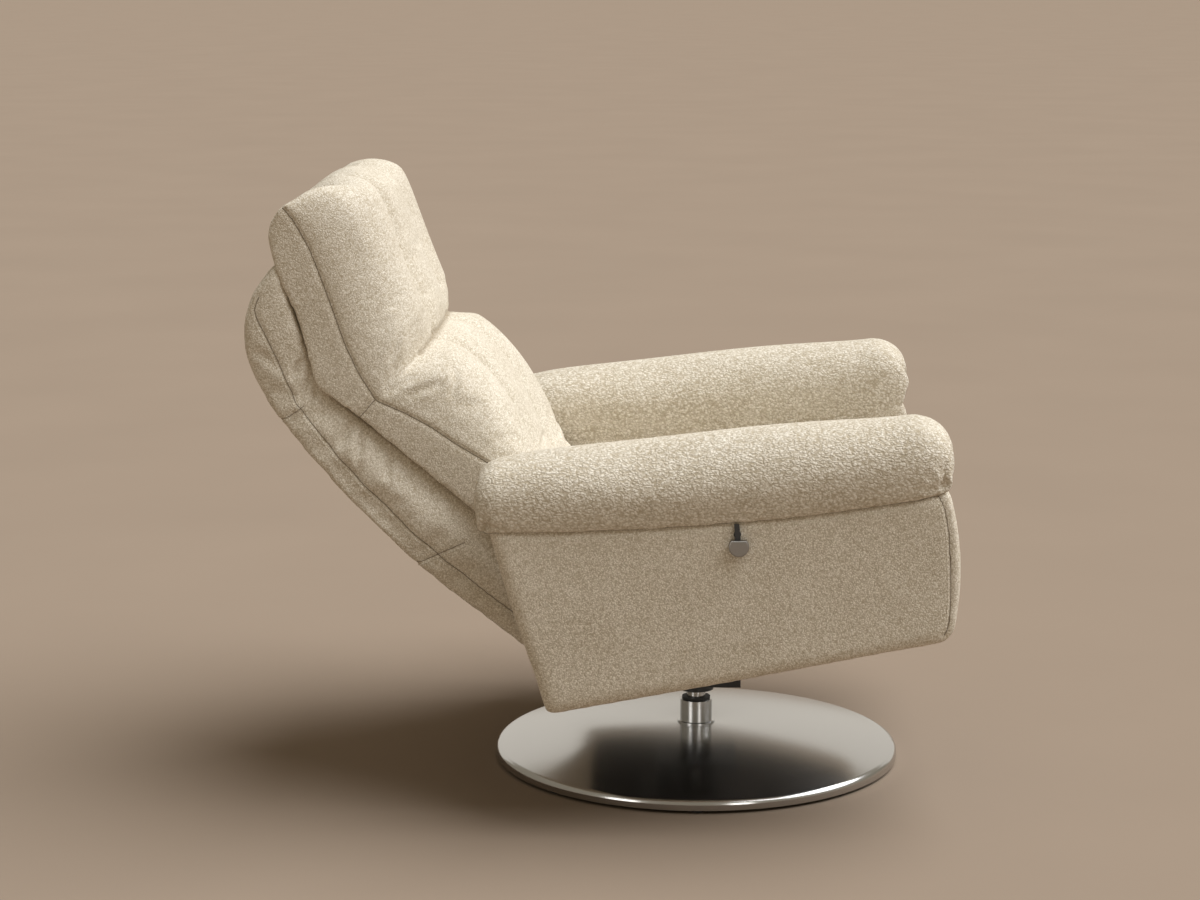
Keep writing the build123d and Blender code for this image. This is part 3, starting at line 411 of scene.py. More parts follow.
# %% [markdown]
# ## From a solid to a soft skin
# A cushion starts as a copy of its CAD solid. A voxel remesh gives it an even skin of small squares, and a
# few rounds of `relax` take the hard edges off. The skin is then set in a little, because the cloth will
# swell.

# %% Skins from solids
def mesh_from(shape, name):
    """A plain mesh from a bmesh, which is then freed."""
    mesh = bpy.data.meshes.new(name)
    shape.to_mesh(mesh)
    shape.free()
    return mesh


def copy_of(*names):
    """One merged mesh from copies of CAD nodes."""
    joined = bmesh.new()
    for name in names:
        joined.from_mesh(frame["nodes"][name].data)
    bmesh.ops.remove_doubles(joined, verts=joined.verts, dist=1e-5)
    return mesh_from(joined, "copy")


def skin(name, mesh, voxel, passes, inset):
    """A soft skin round a solid: remeshed, rounded and set in."""
    piece = linked(mesh, name)
    voxels = piece.modifiers.new("voxels", "REMESH")
    voxels.mode = "VOXEL"
    voxels.voxel_size = voxel
    piece.data = baked(piece)
    piece.modifiers.clear()
    piece.data.name = name
    piece.data.shade_smooth()
    places = relax(points_of(piece.data), edges_of(piece.data), passes)
    set_points(piece.data, places)
    set_points(piece.data, places - normals_of(piece.data) * inset)
    print(name, len(piece.data.vertices), "points")
    return piece


print("skin tools ready")

# %% [markdown]
# ## The back cushion
# On the real chair, head and lumbar parts share one padded front with a deep crease where the headrest
# bends. One skin over both solids keeps the cloth whole at the crease. The two solids stand a hair apart, so
# the head's foot is first lowered into the lumbar part, and the pocket behind the lumbar part is made
# shallower.

# %% Back cushion form
FOOT_DROP = 4 * MM
POCKET_RISE = 30 * MM

back_mesh = copy_of("lumbar_cushion", "head_cushion")
places = points_of(back_mesh)
up, out = up_and_out(places)
foot = (up > CREASE_UP + 0.6) & (up < CREASE_UP + 3)
places[foot] -= UP_THE_BACK * FOOT_DROP
pocket = (up > 60) & (up < CREASE_UP) & (out < -80)
places[pocket] += OUT_OF_BACK * POCKET_RISE
set_points(back_mesh, places)
back_cushion = skin("back_cushion", back_mesh, voxel=0.006, passes=5, inset=0.004)

# %% [markdown]
# ## The back shell
# Behind the cushion sits an upholstered shell. Its side panel is drawn in where it meets the cushion and
# bunches into short folds there. The outline comes from the side view, and the folds are added afterwards.

# %% Shell form
SHELL_HALF = 0.281
SHELL_REAR = [
    (9, -150), (88, -159), (164, -167), (230, -170), (326, -169), (431, -159), (495, -149),
    (547, -130), (578, -114), (606, -88), (624, -52), (630, -8),
]
SHELL_FRONT = [(628, 8), (568, -26), (498, -61), (445, -76), (400, -73), (283, -60), (40, -46)]
CUSHION_REAR = [
    (670, 38), (626, 0), (568, -32), (498, -67), (445, -82), (400, -79), (344, -73), (283, -66),
    (228, -62), (188, -60), (44, -48),
]


def across_back(outline, half):
    """Closed mesh with an outline in the back's side view, run across from side to side."""
    shape = bmesh.new()
    near = [shape.verts.new(on_back(u, n, -half)) for u, n in outline]
    far = [shape.verts.new(on_back(u, n, half)) for u, n in outline]
    shape.faces.new(near)
    shape.faces.new(far)
    count = len(outline)
    for i in range(count):
        shape.faces.new((near[i], near[(i + 1) % count], far[(i + 1) % count], far[i]))
    bmesh.ops.recalc_face_normals(shape, faces=shape.faces)
    return mesh_from(shape, "shell_block")


shell_block = across_back(SHELL_REAR + SHELL_FRONT, SHELL_HALF)
shell = skin("back_shell_cover", shell_block, voxel=0.006, passes=10, inset=0.001)

# %% [markdown]
# ## Seat, arms and front
# The seat is a plain crowned cushion between the arms. Each arm has a flat upholstered panel with a fat pad
# on top. Only one arm is shaped: the other is its mirror image, as a sewer cuts left and right from one
# pattern.

# %% Seat and arm forms
panel_mesh = copy_of("arm_cover_left", "arm_frame_left")
seat_pad = skin("seat_pad", copy_of("seat_cushion"), voxel=0.0065, passes=6, inset=0.003)
front_apron = skin("front_apron", copy_of("front_panel"), voxel=0.005, passes=3, inset=0.0)
arm_panel = skin("arm_panel_left", panel_mesh, voxel=0.006, passes=2, inset=-0.0025)
arm_pad = skin("arm_pad_cover_left", copy_of("arm_pad_left"), voxel=0.005, passes=4, inset=0.003)

# %% [markdown]
# ## Where the cloth is held
# Stuffing swells a cover between the places where it is sewn or stapled down. Each skin gets a vertex group
# with those places: the rear of a cushion, the crease and the channels, the underside of a pad.

# %% Sewn-down places
def sew_down(piece, weight):
    """Pins points of a skin, from 0, free, to 1, fixed."""
    group = piece.vertex_groups.new(name="sewn")
    levels = np.round(np.clip(weight, 0, 1), 1)
    for level in np.unique(levels):
        if level > 0:
            group.add(np.flatnonzero(levels == level).tolist(), float(level), "REPLACE")


places = points_of(back_cushion.data)
up, out = up_and_out(places)
sideways = np.abs(places[:, 0])
rear = smooth_step(-out, 40, 55) * (sideways < 0.272)
gusset = smooth_step(sideways, 0.268, 0.276)
creased = bell(up - CREASE_UP, 9)
channelled = bell(sideways - CHANNEL_X, 0.009)
sew_down(back_cushion, np.maximum.reduce([rear, 0.4 * gusset, creased, 0.7 * channelled]))

places = points_of(shell.data)
up, out = up_and_out(places)
shell_middle = smooth_step(np.abs(places[:, 0]), 0.22, 0.2)
sew_down(shell, shell_middle * 0.6 + (out > -90) * 1.0)

underneath = (normals_of(seat_pad.data)[:, 2] < -0.6) * 1.0
at_the_sides = 0.5 * (np.abs(points_of(seat_pad.data)[:, 0]) > 0.272)
sew_down(seat_pad, underneath + at_the_sides)
sew_down(front_apron, (normals_of(front_apron.data)[:, 1] > 0.3) * 1.0)
outer_face = smooth_step(points_of(arm_panel.data)[:, 0], 0.36, 0.40)
sew_down(arm_panel, 1 - 0.55 * outer_face)
sew_down(arm_pad, (normals_of(arm_pad.data)[:, 2] < -0.7) * 1.0)
print("sewn down", int((rear > 0.5).sum()), "points at the cushion's rear")

# %% [markdown]
# ## Stuffing the cloth
# Blender's cloth simulation with a little air pressure swells each skin as stuffing does. All skins are
# simulated side by side in one run, and no point may move further than its cap. Each row below gives a
# skin's pressure, the slack of its cloth and its cap.

# %% Cloth run
CLOTH_FRAMES = 20
STUFFED = (
    (back_cushion, 2.4, 0.006, 0.012),
    (shell, 0.6, 0.012, 0.008),
    (seat_pad, 3.0, 0.006, 0.018),
    (front_apron, 1.0, 0.0, 0.004),
    (arm_panel, 0.4, 0.002, 0.004),
    (arm_pad, 2.5, 0.0, 0.008),
)


def stuff(piece, pressure, slack):
    cloth = piece.modifiers.new("stuffing", "CLOTH")
    settings = cloth.settings
    settings.quality = 5
    settings.mass = 0.3
    settings.tension_stiffness = 20
    settings.compression_stiffness = 20
    settings.shear_stiffness = 8
    settings.bending_stiffness = 0.6
    settings.use_pressure = True
    settings.uniform_pressure_force = pressure
    settings.effector_weights.gravity = 0
    settings.shrink_min = -slack
    settings.vertex_group_mass = "sewn"
    settings.pin_stiffness = 1.0
    cloth.collision_settings.use_collision = False
    cloth.point_cache.frame_start = 1
    cloth.point_cache.frame_end = CLOTH_FRAMES


def run_cloth(pieces_and_caps):
    for frame_number in range(1, CLOTH_FRAMES + 1):
        scene.frame_set(frame_number)
    graph = bpy.context.evaluated_depsgraph_get()
    for piece, cap in pieces_and_caps:
        before = points_of(piece.data)
        move = points_of(piece.evaluated_get(graph).data) - before
        length = np.linalg.norm(move, axis=1)
        move *= (np.minimum(length, cap) / np.maximum(length, 1e-9))[:, None]
        piece.modifiers.clear()
        set_points(piece.data, before + move)
        mean, most = float(length.mean()) / MM, float(length.max()) / MM
        print(piece.name, "moved", round(mean, 1), "mm, most", round(most, 1))
    scene.frame_set(1)


for piece, pressure, slack, cap in STUFFED:
    stuff(piece, pressure, slack)
run_cloth([(piece, cap) for piece, pressure, slack, cap in STUFFED])

# %% [markdown]
# ## Finer skins
# One subdivision gives the skins points every three millimetres, fine enough to carry seams and folds.

# %% Subdivide
def refine(piece):
    finer = piece.modifiers.new("finer", "SUBSURF")
    finer.levels = 1
    finer.render_levels = 1
    piece.data = baked(piece)
    piece.modifiers.clear()
    piece.vertex_groups.clear()
    piece.data.name = piece.name
    piece.data.shade_smooth()


for piece in (back_cushion, shell, seat_pad, front_apron, arm_panel, arm_pad):
    refine(piece)
print("back cushion", len(back_cushion.data.polygons), "faces")

# %% [markdown]
# ## Folds and grooves
# A fold is a short valley beside a ridge. A seam is a narrow groove: the cloth is pulled in along a line
# that is first dropped onto the skin. The groove's strength is also kept as a mask, so that the finish can
# paint shade into it.

# %% Seam and fold tools
RIDGE_SHARE = 0.35
RIDGE_AWAY = 2.1
SHADE_SHARE = 0.45


def tree_of(piece):
    corners = [v.co for v in piece.data.vertices]
    return BVHTree.FromPolygons(corners, [p.vertices for p in piece.data.polygons])


def dropped(line, tree):
    """A line laid onto a skin, evened so that it runs smoothly."""
    laid = [tree.find_nearest(p)[0] for p in dense(line, 0.003)]
    for _ in range(3):
        middle = [(a + 2 * b + c) / 4 for a, b, c in zip(laid, laid[1:], laid[2:])]
        laid = [laid[0]] + middle + [laid[-1]]
    return [tree.find_nearest(p)[0] for p in laid]


def shade_of(piece):
    layer = piece.data.attributes.get("painted_seam_shade")
    return layer or piece.data.attributes.new("painted_seam_shade", "FLOAT", "POINT")


def groove(piece, lines, depth, width, shade):
    """Pulls a skin in along lines, and keeps the mask of painted shade."""
    places = points_of(piece.data)
    nearest = np.ones(len(places))
    for line in lines:
        nearest = np.minimum(nearest, along_line(places, dense(line))[0])
    pull = bell(nearest, width)
    set_points(piece.data, places - normals_of(piece.data) * (pull * depth)[:, None])
    layer = shade_of(piece)
    kept = np.zeros(len(places), np.float32)
    layer.data.foreach_get("value", kept)
    # The narrower bell is the painted shade along the groove.
    narrow = bell(nearest, SHADE_SHARE * width) * shade
    layer.data.foreach_set("value", np.maximum(kept, narrow).astype(np.float32))


def fold(piece, lines, depth, width, pinched=False):
    """Valleys with low ridges, which run out at both ends or, when pinched, at the far end only."""
    places = points_of(piece.data)
    normals = normals_of(piece.data)
    for line in lines:
        gap, share = along_line(places, dense(line))
        fading = 1 - share if pinched else np.clip(4 * share * (1 - share), 0, 1) ** 0.8
        wave = -bell(gap, width) + RIDGE_SHARE * bell(gap - RIDGE_AWAY * width, width)
        places = places + normals * (wave * fading * depth)[:, None]
    set_points(piece.data, places)


print("seam tools ready")

# %% [markdown]
# ## The back cushion's crease, shoulders and ears
# Every point knows how far it lies up the back, out of its front and to the side. Smooth masks of those
# three choose a region, and one direction moves it: the crease goes in, the shoulders beside the side seams
# and the band behind the head fill out, and the top dips beside each pointed ear.

# %% Form of the back cushion
SHOULDER_FILL = 0.014
HEAD_BAND_FILL = 0.013
HEAD_DIP = 0.015
DIP_X = 0.208
EAR_REACH = 0.022
EAR_PULL = 0.009
FRONT_SEAM = [
    (62, 14), (110, 13), (160, 12), (225, 8), (280, -5), (322, -12), (364, -24), (400, -38), (443, -27),
    (484, -11), (530, 13), (570, 33), (610, 52), (653, 65), (674, 67),
]


def moved(places, direction, amount):
    return places + direction[None, :] * amount[:, None]


places = points_of(back_cushion.data)
up, out = up_and_out(places)
sideways = np.abs(places[:, 0])
seam_out = profile(up, FRONT_SEAM)
off_crease = np.abs(up - CREASE_UP)

shoulder = smooth_step(sideways, 0.13, 0.225) * smooth_step(-sideways, -0.284, -0.255)
ahead_of_seam = smooth_step(out - seam_out, 2, 22)
calm = smooth_step(off_crease, 4, 40) * smooth_step(up, 90, 190)
places = moved(places, OUT_OF_BACK, SHOULDER_FILL * shoulder * ahead_of_seam * calm)

front = smooth_step(out, -46, -30)
inside = smooth_step(-sideways, -0.284, -0.274)
tuck = 9 * np.exp(-off_crease / 5) + 3 * bell(off_crease, 20)
places = moved(places, -OUT_OF_BACK, front * inside * tuck * MM)

behind_seam = smooth_step(seam_out - out, 4, 40) * smooth_step(sideways, 0.20, 0.25)
head_band = behind_seam * smooth_step(up, 545, 615)
places = moved(places, 0.35 * UP_THE_BACK - 0.85 * OUT_OF_BACK, HEAD_BAND_FILL * head_band)

dip = bell(sideways - DIP_X, 0.03) * smooth_step(up, 575, 660)
places = moved(places, -UP_THE_BACK, HEAD_DIP * dip)

for side in SIDES:
    ear = np.array(on_back(676, 66, side * HALF_WIDTH))
    near_ear = bell(np.linalg.norm(places - ear, axis=1), EAR_REACH)
    outward = side * np.array((0.4, 0, 0)) + 0.75 * UP_THE_BACK + 0.3 * OUT_OF_BACK
    places = moved(places, outward, near_ear * EAR_PULL)
set_points(back_cushion.data, places)
print("crease is", round(float(tuck.max()), 1), "mm deep")

# %% [markdown]
# ## Seams, channels and wrinkles of the back cushion
# The side seams run where front and side band meet. Rays from the front find the skin where the two channels
# and the crease lie, and where a few wrinkles start at the crease's ends.

# %% Seams of the back cushion
GUSSET_SEAM = [(402, -38), (401, -58), (400, -76)]
WRINKLES = [
    ((403, 0.280), (417, 0.256)), ((397, 0.280), (386, 0.260)), ((354, 0.238), (328, 0.268)),
    ((424, 0.272), (446, 0.250)), ((372, 0.276), (352, 0.262)),
]


def from_front(tree, ups, xs):
    """The skin's front at heights up the back, where there is any."""
    line = []
    for up, x in zip(ups, xs):
        start = on_back(up, 320, x)
        line.append(tree.ray_cast(start, on_back(up, -320, x) - start)[0])
    return [spot for spot in line if spot]


back_tree = tree_of(back_cushion)
cushion_lines, channel_lines, wrinkle_lines = [], [], []
for side in SIDES:
    for seam in (FRONT_SEAM, GUSSET_SEAM):
        cushion_lines.append(dropped([on_back(u, n, side * HALF_WIDTH) for u, n in seam], back_tree))
    for low, high in ((80, CREASE_UP - 6), (CREASE_UP + 6, 668)):
        channel_lines.append(from_front(back_tree, np.linspace(low, high, 40), [side * CHANNEL_X] * 40))
    for (start, start_x), (end, end_x) in WRINKLES:
        xs = side * np.linspace(start_x, end_x, 10)
        wrinkle_lines.append(from_front(back_tree, np.linspace(start, end, 10), xs))
crease_line = from_front(back_tree, [CREASE_UP] * 60, np.linspace(-0.215, 0.27, 60))
# The shade values paint shade along the seams and channels, and a strong painted shadow line along the
# crease.
groove(back_cushion, cushion_lines, depth=0.0018, width=0.0038, shade=0.12)
groove(back_cushion, [crease_line], depth=0.001, width=0.009, shade=0.75)
groove(back_cushion, channel_lines, depth=0.0075, width=0.02, shade=0.0)
groove(back_cushion, channel_lines, depth=0.0012, width=0.003, shade=0.06)
fold(back_cushion, wrinkle_lines, depth=0.0024, width=0.005)
print("cushion seams", len(cushion_lines), "channels", len(channel_lines))

# %% [markdown]
# ## The shell's bunched side
# The shell's side is drawn in towards the cushion, so its loose cloth bunches into a few folds across that
# edge. A seam follows the rear edge, and two more cross the back where its panels are joined.

# %% Folds and seams of the shell
DRAW_IN = 0.009
SHELL_FOLDS = [
    ((490, -72), (470, -120)), ((474, -78), (456, -118)), ((404, -80), (390, -128)),
    ((382, -80), (358, -126)), ((512, -66), (502, -100)), ((336, -74), (314, -112)),
]
REAR_EDGE_SEAM = [
    (614, -46), (608, -62), (593, -70), (564, -80), (530, -94), (504, -105), (478, -116), (430, -124),
    (380, -132), (320, -136), (250, -138), (180, -134), (100, -126), (30, -118),
]
UPPER_SIDE_SEAM = [(478, -158), (470, -136), (465, -112)]
LOWER_SIDE_SEAM = [(205, -170), (190, -130), (176, -96)]
CROSS_SEAMS = [(476, -156), (204, -171)]
CROSS_SEAM_HALF = 0.27

places = points_of(shell.data)
up, out = up_and_out(places)
side_view = np.stack([up, out, np.zeros(len(up))], 1) * MM
to_cushion = along_line(side_view, dense([(u * MM, n * MM, 0) for u, n in CUSHION_REAR]))[0]
below_head_tubes = smooth_step(-up, -560, -480)
at_side_panel = smooth_step(np.abs(places[:, 0]), 0.22, 0.27)
drawn_in = smooth_step(-to_cushion, -0.05, -0.004) * at_side_panel * below_head_tubes
places[:, 0] -= np.sign(places[:, 0]) * drawn_in * DRAW_IN
set_points(shell.data, places)

shell_tree = tree_of(shell)
fold_lines = []
for x in (-SHELL_HALF, SHELL_HALF):
    fold_lines += [dropped([on_back(*a, x), on_back(*b, x)], shell_tree) for a, b in SHELL_FOLDS]
fold(shell, fold_lines, depth=0.0042, width=0.005)

shell_tree = tree_of(shell)
shell_lines = []
for x in (-SHELL_HALF, SHELL_HALF):
    for seam in (REAR_EDGE_SEAM, UPPER_SIDE_SEAM, LOWER_SIDE_SEAM):
        shell_lines.append(dropped([on_back(u, n, x) for u, n in seam], shell_tree))
for u, n in CROSS_SEAMS:
    across = [on_back(u, n, t * CROSS_SEAM_HALF) for t in (-1, -0.5, 0, 0.5, 1)]
    shell_lines.append(dropped(across, shell_tree))
# Painted shade along the shell's seams.
groove(shell, shell_lines, depth=0.0016, width=0.0036, shade=0.25)
print("shell seams", len(shell_lines), "folds", len(fold_lines))

# %% [markdown]
# ## Arm panels
# The panel's cloth hangs a little below its frame, most at the rear, and is kept flat outside, where the
# lever turns close to it. One seam runs down its front edge.

# %% Arm panel
PANEL_FOOT = [(-203, 187), (335, 288)]
PANEL_HANG = [(-215, 9), (60, 8), (250, 5), (335, 5)]
PANEL_FACE = 0.4272
PANEL_SEAM_X = 0.425
PANEL_SEAM = [(311, 487), (322, 463), (328, 432), (331, 387), (333, 342), (331, 306), (326, 291)]

places = points_of(arm_panel.data)
ahead = -places[:, 1] / MM
foot_high = profile(ahead, PANEL_FOOT) * MM
places[:, 2] -= profile(ahead, PANEL_HANG) * MM * smooth_step(foot_high - places[:, 2], -0.05, 0.0)
places[:, 0] = np.minimum(places[:, 0], PANEL_FACE)
set_points(arm_panel.data, places)
panel_lines = [dropped([at_side(f, z, PANEL_SEAM_X) for f, z in PANEL_SEAM], tree_of(arm_panel))]
# Painted shade along the panel's seam.
groove(arm_panel, panel_lines, depth=0.0024, width=0.0042, shade=0.5)
print("panel seam", len(panel_lines[0]), "points")

# %% [markdown]
# ## Arm pads
# The pad's ends are pinched: gathers start at the tips and fade over the top. Its rim hangs over the panel
# outside, and its inner face runs down to the seat and a little forward. Its seam lies under the rim.

# %% Arm pad
PAD_HANG = 0.009
INNER_DROP = 0.042
INNER_REACH = 0.014
PAD_INNER_FACE = 0.2868
PAD_SEAM_BELOW, PAD_SEAM_X = 22, 0.426
PAD_RIM = [
    (-293, 446), (-283, 437), (-231, 433), (-143, 434), (-55, 438), (32, 444), (120, 458), (220, 478),
    (285, 490), (322, 504),
]
PAD_GATHERS = [
    ((330, 500), (306, 534)), ((329, 498), (290, 516)), ((332, 504), (324, 540)), ((326, 494), (280, 500)),
    ((-294, 438), (-268, 462)), ((-297, 440), (-284, 476)), ((-291, 434), (-256, 444)),
]
PAD_ENDS = [(334, 520), (-299, 464)]

pad_tree = tree_of(arm_pad)
gather_lines = [dropped([at_side(*a, 0.438), at_side(*b, 0.441)], pad_tree) for a, b in PAD_GATHERS]
for f, z in PAD_ENDS:
    for x in (0.32, 0.345, 0.375, 0.40):
        gather_lines.append(dropped([at_side(f, z, x), at_side(f * 0.93, z + 26, x)], pad_tree))
fold(arm_pad, gather_lines, depth=0.0042, width=0.0045, pinched=True)

places = points_of(arm_pad.data)
rim_high = profile(-places[:, 1] / MM, PAD_RIM) * MM
inner_side = smooth_step(-places[:, 0], -0.304, -0.297)
places[:, 2] -= INNER_DROP * inner_side * smooth_step(rim_high - places[:, 2], -0.045, 0.0)
outer_side = smooth_step(places[:, 0], 0.402, 0.424)
places[:, 2] -= PAD_HANG * outer_side * smooth_step(rim_high - places[:, 2], -0.03, 0.0)
front_low = smooth_step(-places[:, 1], 0.262, 0.325) * smooth_step(rim_high - places[:, 2], -0.05, 0.01)
places[:, 1] -= INNER_REACH * front_low * smooth_step(-places[:, 0], -0.325, -0.30)
places[:, 0] = np.maximum(places[:, 0], PAD_INNER_FACE)
set_points(arm_pad.data, places)
under_rim = [at_side(f, z - PAD_SEAM_BELOW, PAD_SEAM_X) for f, z in PAD_RIM]
pad_lines = [dropped(under_rim, tree_of(arm_pad))]
# Painted shade along the seam under the pad's rim.
groove(arm_pad, pad_lines, depth=0.0012, width=0.004, shade=0.2)
print("pad gathers", len(gather_lines))

# %% [markdown]
# ## Seat and front apron
# The apron is raised to meet the seat's underside, so that no wood shows between them. A boxed cushion like
# the seat is sewn round its top: two long seams and one along the front.

# %% Seams of the seat
APRON_TOP = 0.345
APRON_RAISE = 0.014
SEAT_SEAM_X = 0.268

places = points_of(front_apron.data)
places[:, 2] += APRON_RAISE * smooth_step(places[:, 2], APRON_TOP - 0.012, APRON_TOP + 0.008)
set_points(front_apron.data, places)
seat_tree = tree_of(seat_pad)
seat_lines = []
for x in (-SEAT_SEAM_X, SEAT_SEAM_X):
    seat_lines.append(dropped([on_seat(a, 250, x) for a in (-40, 40, 120, 200, 280, 330)], seat_tree))
front_edge = [on_seat(352, 232, t * SEAT_SEAM_X) for t in (-1, -0.6, -0.2, 0.2, 0.6, 1)]
seat_lines.append(dropped(front_edge, seat_tree))
# Painted shade along the seat's seams.
groove(seat_pad, seat_lines, depth=0.003, width=0.005, shade=0.5)
print("seat seams", len(seat_lines))

# %% [markdown]
# ## Mirror the arm
# Flipping a mesh turns it inside out, so its faces are turned round again before it is used.

# %% Mirror image
def mirrored(piece, name):
    flip = bmesh.new()
    flip.from_mesh(piece.data)
    for vertex in flip.verts:
        vertex.co.x = -vertex.co.x
    bmesh.ops.reverse_faces(flip, faces=flip.faces)
    mesh = mesh_from(flip, name)
    mesh.shade_smooth()
    return linked(mesh, name)


def flipped(lines):
    return [[Vector((-p.x, p.y, p.z)) for p in line] for line in lines]


arm_panel_right = mirrored(arm_panel, "arm_panel_right")
arm_pad_right = mirrored(arm_pad, "arm_pad_cover_right")
print("mirrored", arm_panel_right.name, arm_pad_right.name)

# %% [markdown]
# ## Shadow cords and stitches
# A seam shows as a dark cord of painted shadow in its groove, with a row of small stitches beside it. Both
# repeat along a path, so Geometry Nodes make them: one tree sweeps the cord, the other sets a short stitch
# at every step.

# %% Shadow cord and stitch trees
def new_tree(name, inputs):
    tree = bpy.data.node_groups.new(name, "GeometryNodeTree")
    socket(tree, "Geometry", "NodeSocketGeometry")
    socket(tree, "Geometry", "NodeSocketGeometry", output=True)
    for label, kind, value in inputs:
        socket(tree, label, kind, value)
    given = node(tree, "NodeGroupInput").outputs
    path = node(tree, "GeometryNodeMeshToCurve", {"Mesh": given["Geometry"]}).outputs["Curve"]
    return tree, given, path


def end_tree(tree, given, geometry):
    real = node(tree, "GeometryNodeRealizeInstances", {"Geometry": geometry}).outputs[0]
    dressed = {"Geometry": real, "Material": given["Thread and shadow finish"]}
    shown = node(tree, "GeometryNodeSetMaterial", dressed).outputs[0]
    node(tree, "NodeGroupOutput", {"Geometry": shown})


shadow_cord_tree, given, path = new_tree("seam shadow cord", [
    ("Shadow cord radius", "NodeSocketFloat", 0.0007),
    ("Thread and shadow finish", "NodeSocketMaterial", None),
])
section = node(shadow_cord_tree, "GeometryNodeCurvePrimitiveCircle", {
    "Resolution": 6, "Radius": given["Shadow cord radius"],
})
sweep = node(shadow_cord_tree, "GeometryNodeCurveToMesh", {
    "Curve": path, "Profile Curve": section.outputs["Curve"], "Fill Caps": True,
})
end_tree(shadow_cord_tree, given, sweep.outputs["Mesh"])

stitch_tree, given, path = new_tree("stitch row", [
    ("Stitch step", "NodeSocketFloat", 0.0055),
    ("Stitch length", "NodeSocketFloat", 0.0036),
    ("Stitch radius", "NodeSocketFloat", 0.0005),
    ("Thread and shadow finish", "NodeSocketMaterial", None),
])
spaced_inputs = {"Curve": path, "Length": given["Stitch step"]}
spaced = node(stitch_tree, "GeometryNodeCurveToPoints", spaced_inputs, mode="LENGTH").outputs
grain = node(stitch_tree, "GeometryNodeMeshCylinder", {
    "Vertices": 5, "Depth": given["Stitch length"], "Radius": given["Stitch radius"],
})
placed = node(stitch_tree, "GeometryNodeInstanceOnPoints", {
    "Points": spaced["Points"], "Instance": grain.outputs["Mesh"], "Rotation": spaced["Rotation"],
})
end_tree(stitch_tree, given, placed.outputs["Instances"])
print("trees", shadow_cord_tree.name, stitch_tree.name)

# %% [markdown]
# ## Sew the seams
# The lines of each piece become loose edges. The stitch row stands a few millimetres off the seam, on the
# skin.

# %% Sewing
SHADOW_CORD_RADIUS = 0.0005
STITCHES_ASIDE = 0.005
STITCHES_ABOVE = 0.0002


def thread_and_shadow_material(name, light, dark):
    material, tree, shader = material_with(name, Roughness=0.8)
    place = node(tree, "ShaderNodeTexCoord").outputs["Object"]
    twist = noise(tree, place, scale=900.0)["Fac"]
    feed(tree, shader, {"Base Color": mixed(tree, twist, dark, light)})
    return material


def grown(lines, name, tree, values):
    """Runs a shadow cord tree or a stitch tree along lines and returns a plain mesh object."""
    corners, pairs = [], []
    for line in lines:
        start = len(corners)
        corners += [tuple(p) for p in line]
        pairs += [(start + i, start + i + 1) for i in range(len(line) - 1)]
    mesh = bpy.data.meshes.new(name)
    mesh.from_pydata(corners, pairs, [])
    piece = linked(mesh, name)
    modifier = piece.modifiers.new("thread", "NODES")
    modifier.node_group = tree
    for item in tree.interface.items_tree:
        if item.item_type == "SOCKET" and item.in_out == "INPUT" and item.name in values:
            modifier[item.identifier] = values[item.name]
    piece.data = baked(piece)
    piece.modifiers.clear()
    piece.data.name = name
    return piece


def beside(line, tree):
    """A line moved sideways along the skin and laid onto it again."""
    line = dense(line, 0.003)
    out = []
    for before, here, after in zip(line, line[1:], line[2:]):
        across = (after - before).cross(tree.find_nearest(here)[1])
        if across.length > 0:
            spot, facing = tree.find_nearest(here + across.normalized() * STITCHES_ASIDE)[:2]
            out.append(spot + facing * STITCHES_ABOVE)
    return out


def sewn(name, piece, lines):
    tree = tree_of(piece)
    laid = [[tree.find_nearest(p)[0] for p in dense(line, 0.004)] for line in lines]
    # The dark thread swept into each groove is a cord of painted seam shadow.
    shadow_cord_values = {"Shadow cord radius": SHADOW_CORD_RADIUS, "Thread and shadow finish": groove_shadow_cord}
    thread = grown(laid, name + "_thread", shadow_cord_tree, shadow_cord_values)
    rows = [beside(line, tree) for line in lines]
    stitches = grown(rows, name + "_stitches", stitch_tree, {"Thread and shadow finish": stitch_thread})
    print(name, len(thread.data.polygons), "thread faces", len(stitches.data.polygons), "stitch faces")
    return thread, stitches


# The seam cord's dark colours are painted shadow; the stitches have the thread's own colour.
groove_shadow_cord = thread_and_shadow_material("seam_shadow_cord", (0.24, 0.195, 0.14, 1), (0.13, 0.105, 0.075, 1))
stitch_thread = thread_and_shadow_material("stitch_thread", (0.62, 0.56, 0.45, 1), (0.45, 0.39, 0.30, 1))
back_sewing = sewn("back_cushion", back_cushion, cushion_lines) + sewn("back_shell", shell, shell_lines)
seat_sewing = sewn("seat_pad", seat_pad, seat_lines)
seat_sewing += sewn("arm_panel_left", arm_panel, panel_lines)
seat_sewing += sewn("arm_panel_right", arm_panel_right, flipped(panel_lines))
seat_sewing += sewn("arm_pad_left", arm_pad, pad_lines)
seat_sewing += sewn("arm_pad_right", arm_pad_right, flipped(pad_lines))

# %% [markdown]
# ## Linings that bridge the joints
# Between seat and back, and under the back, the real chair has plain cloth that keeps dust and fingers out
# of the hinge. Each lining is a curved sheet that runs from the seat at one edge to the back at the other.

# %% Linings
SEAT_LINING_HALF = 0.246
REAR_LINING_HALF = 0.275
LINING_COLUMNS = 36
SEAT_LINING = [
    on_seat(-46, 224), on_seat(-62, 218), on_seat(-80, 217), on_seat(-95, 217.5),
    on_back(21, 4), on_back(30, 2),
]
REAR_LINING = [
    on_seat(-178, 84), on_seat(-190, 92), on_back(-22, -140), on_back(-4, -146), on_back(14, -144),
]


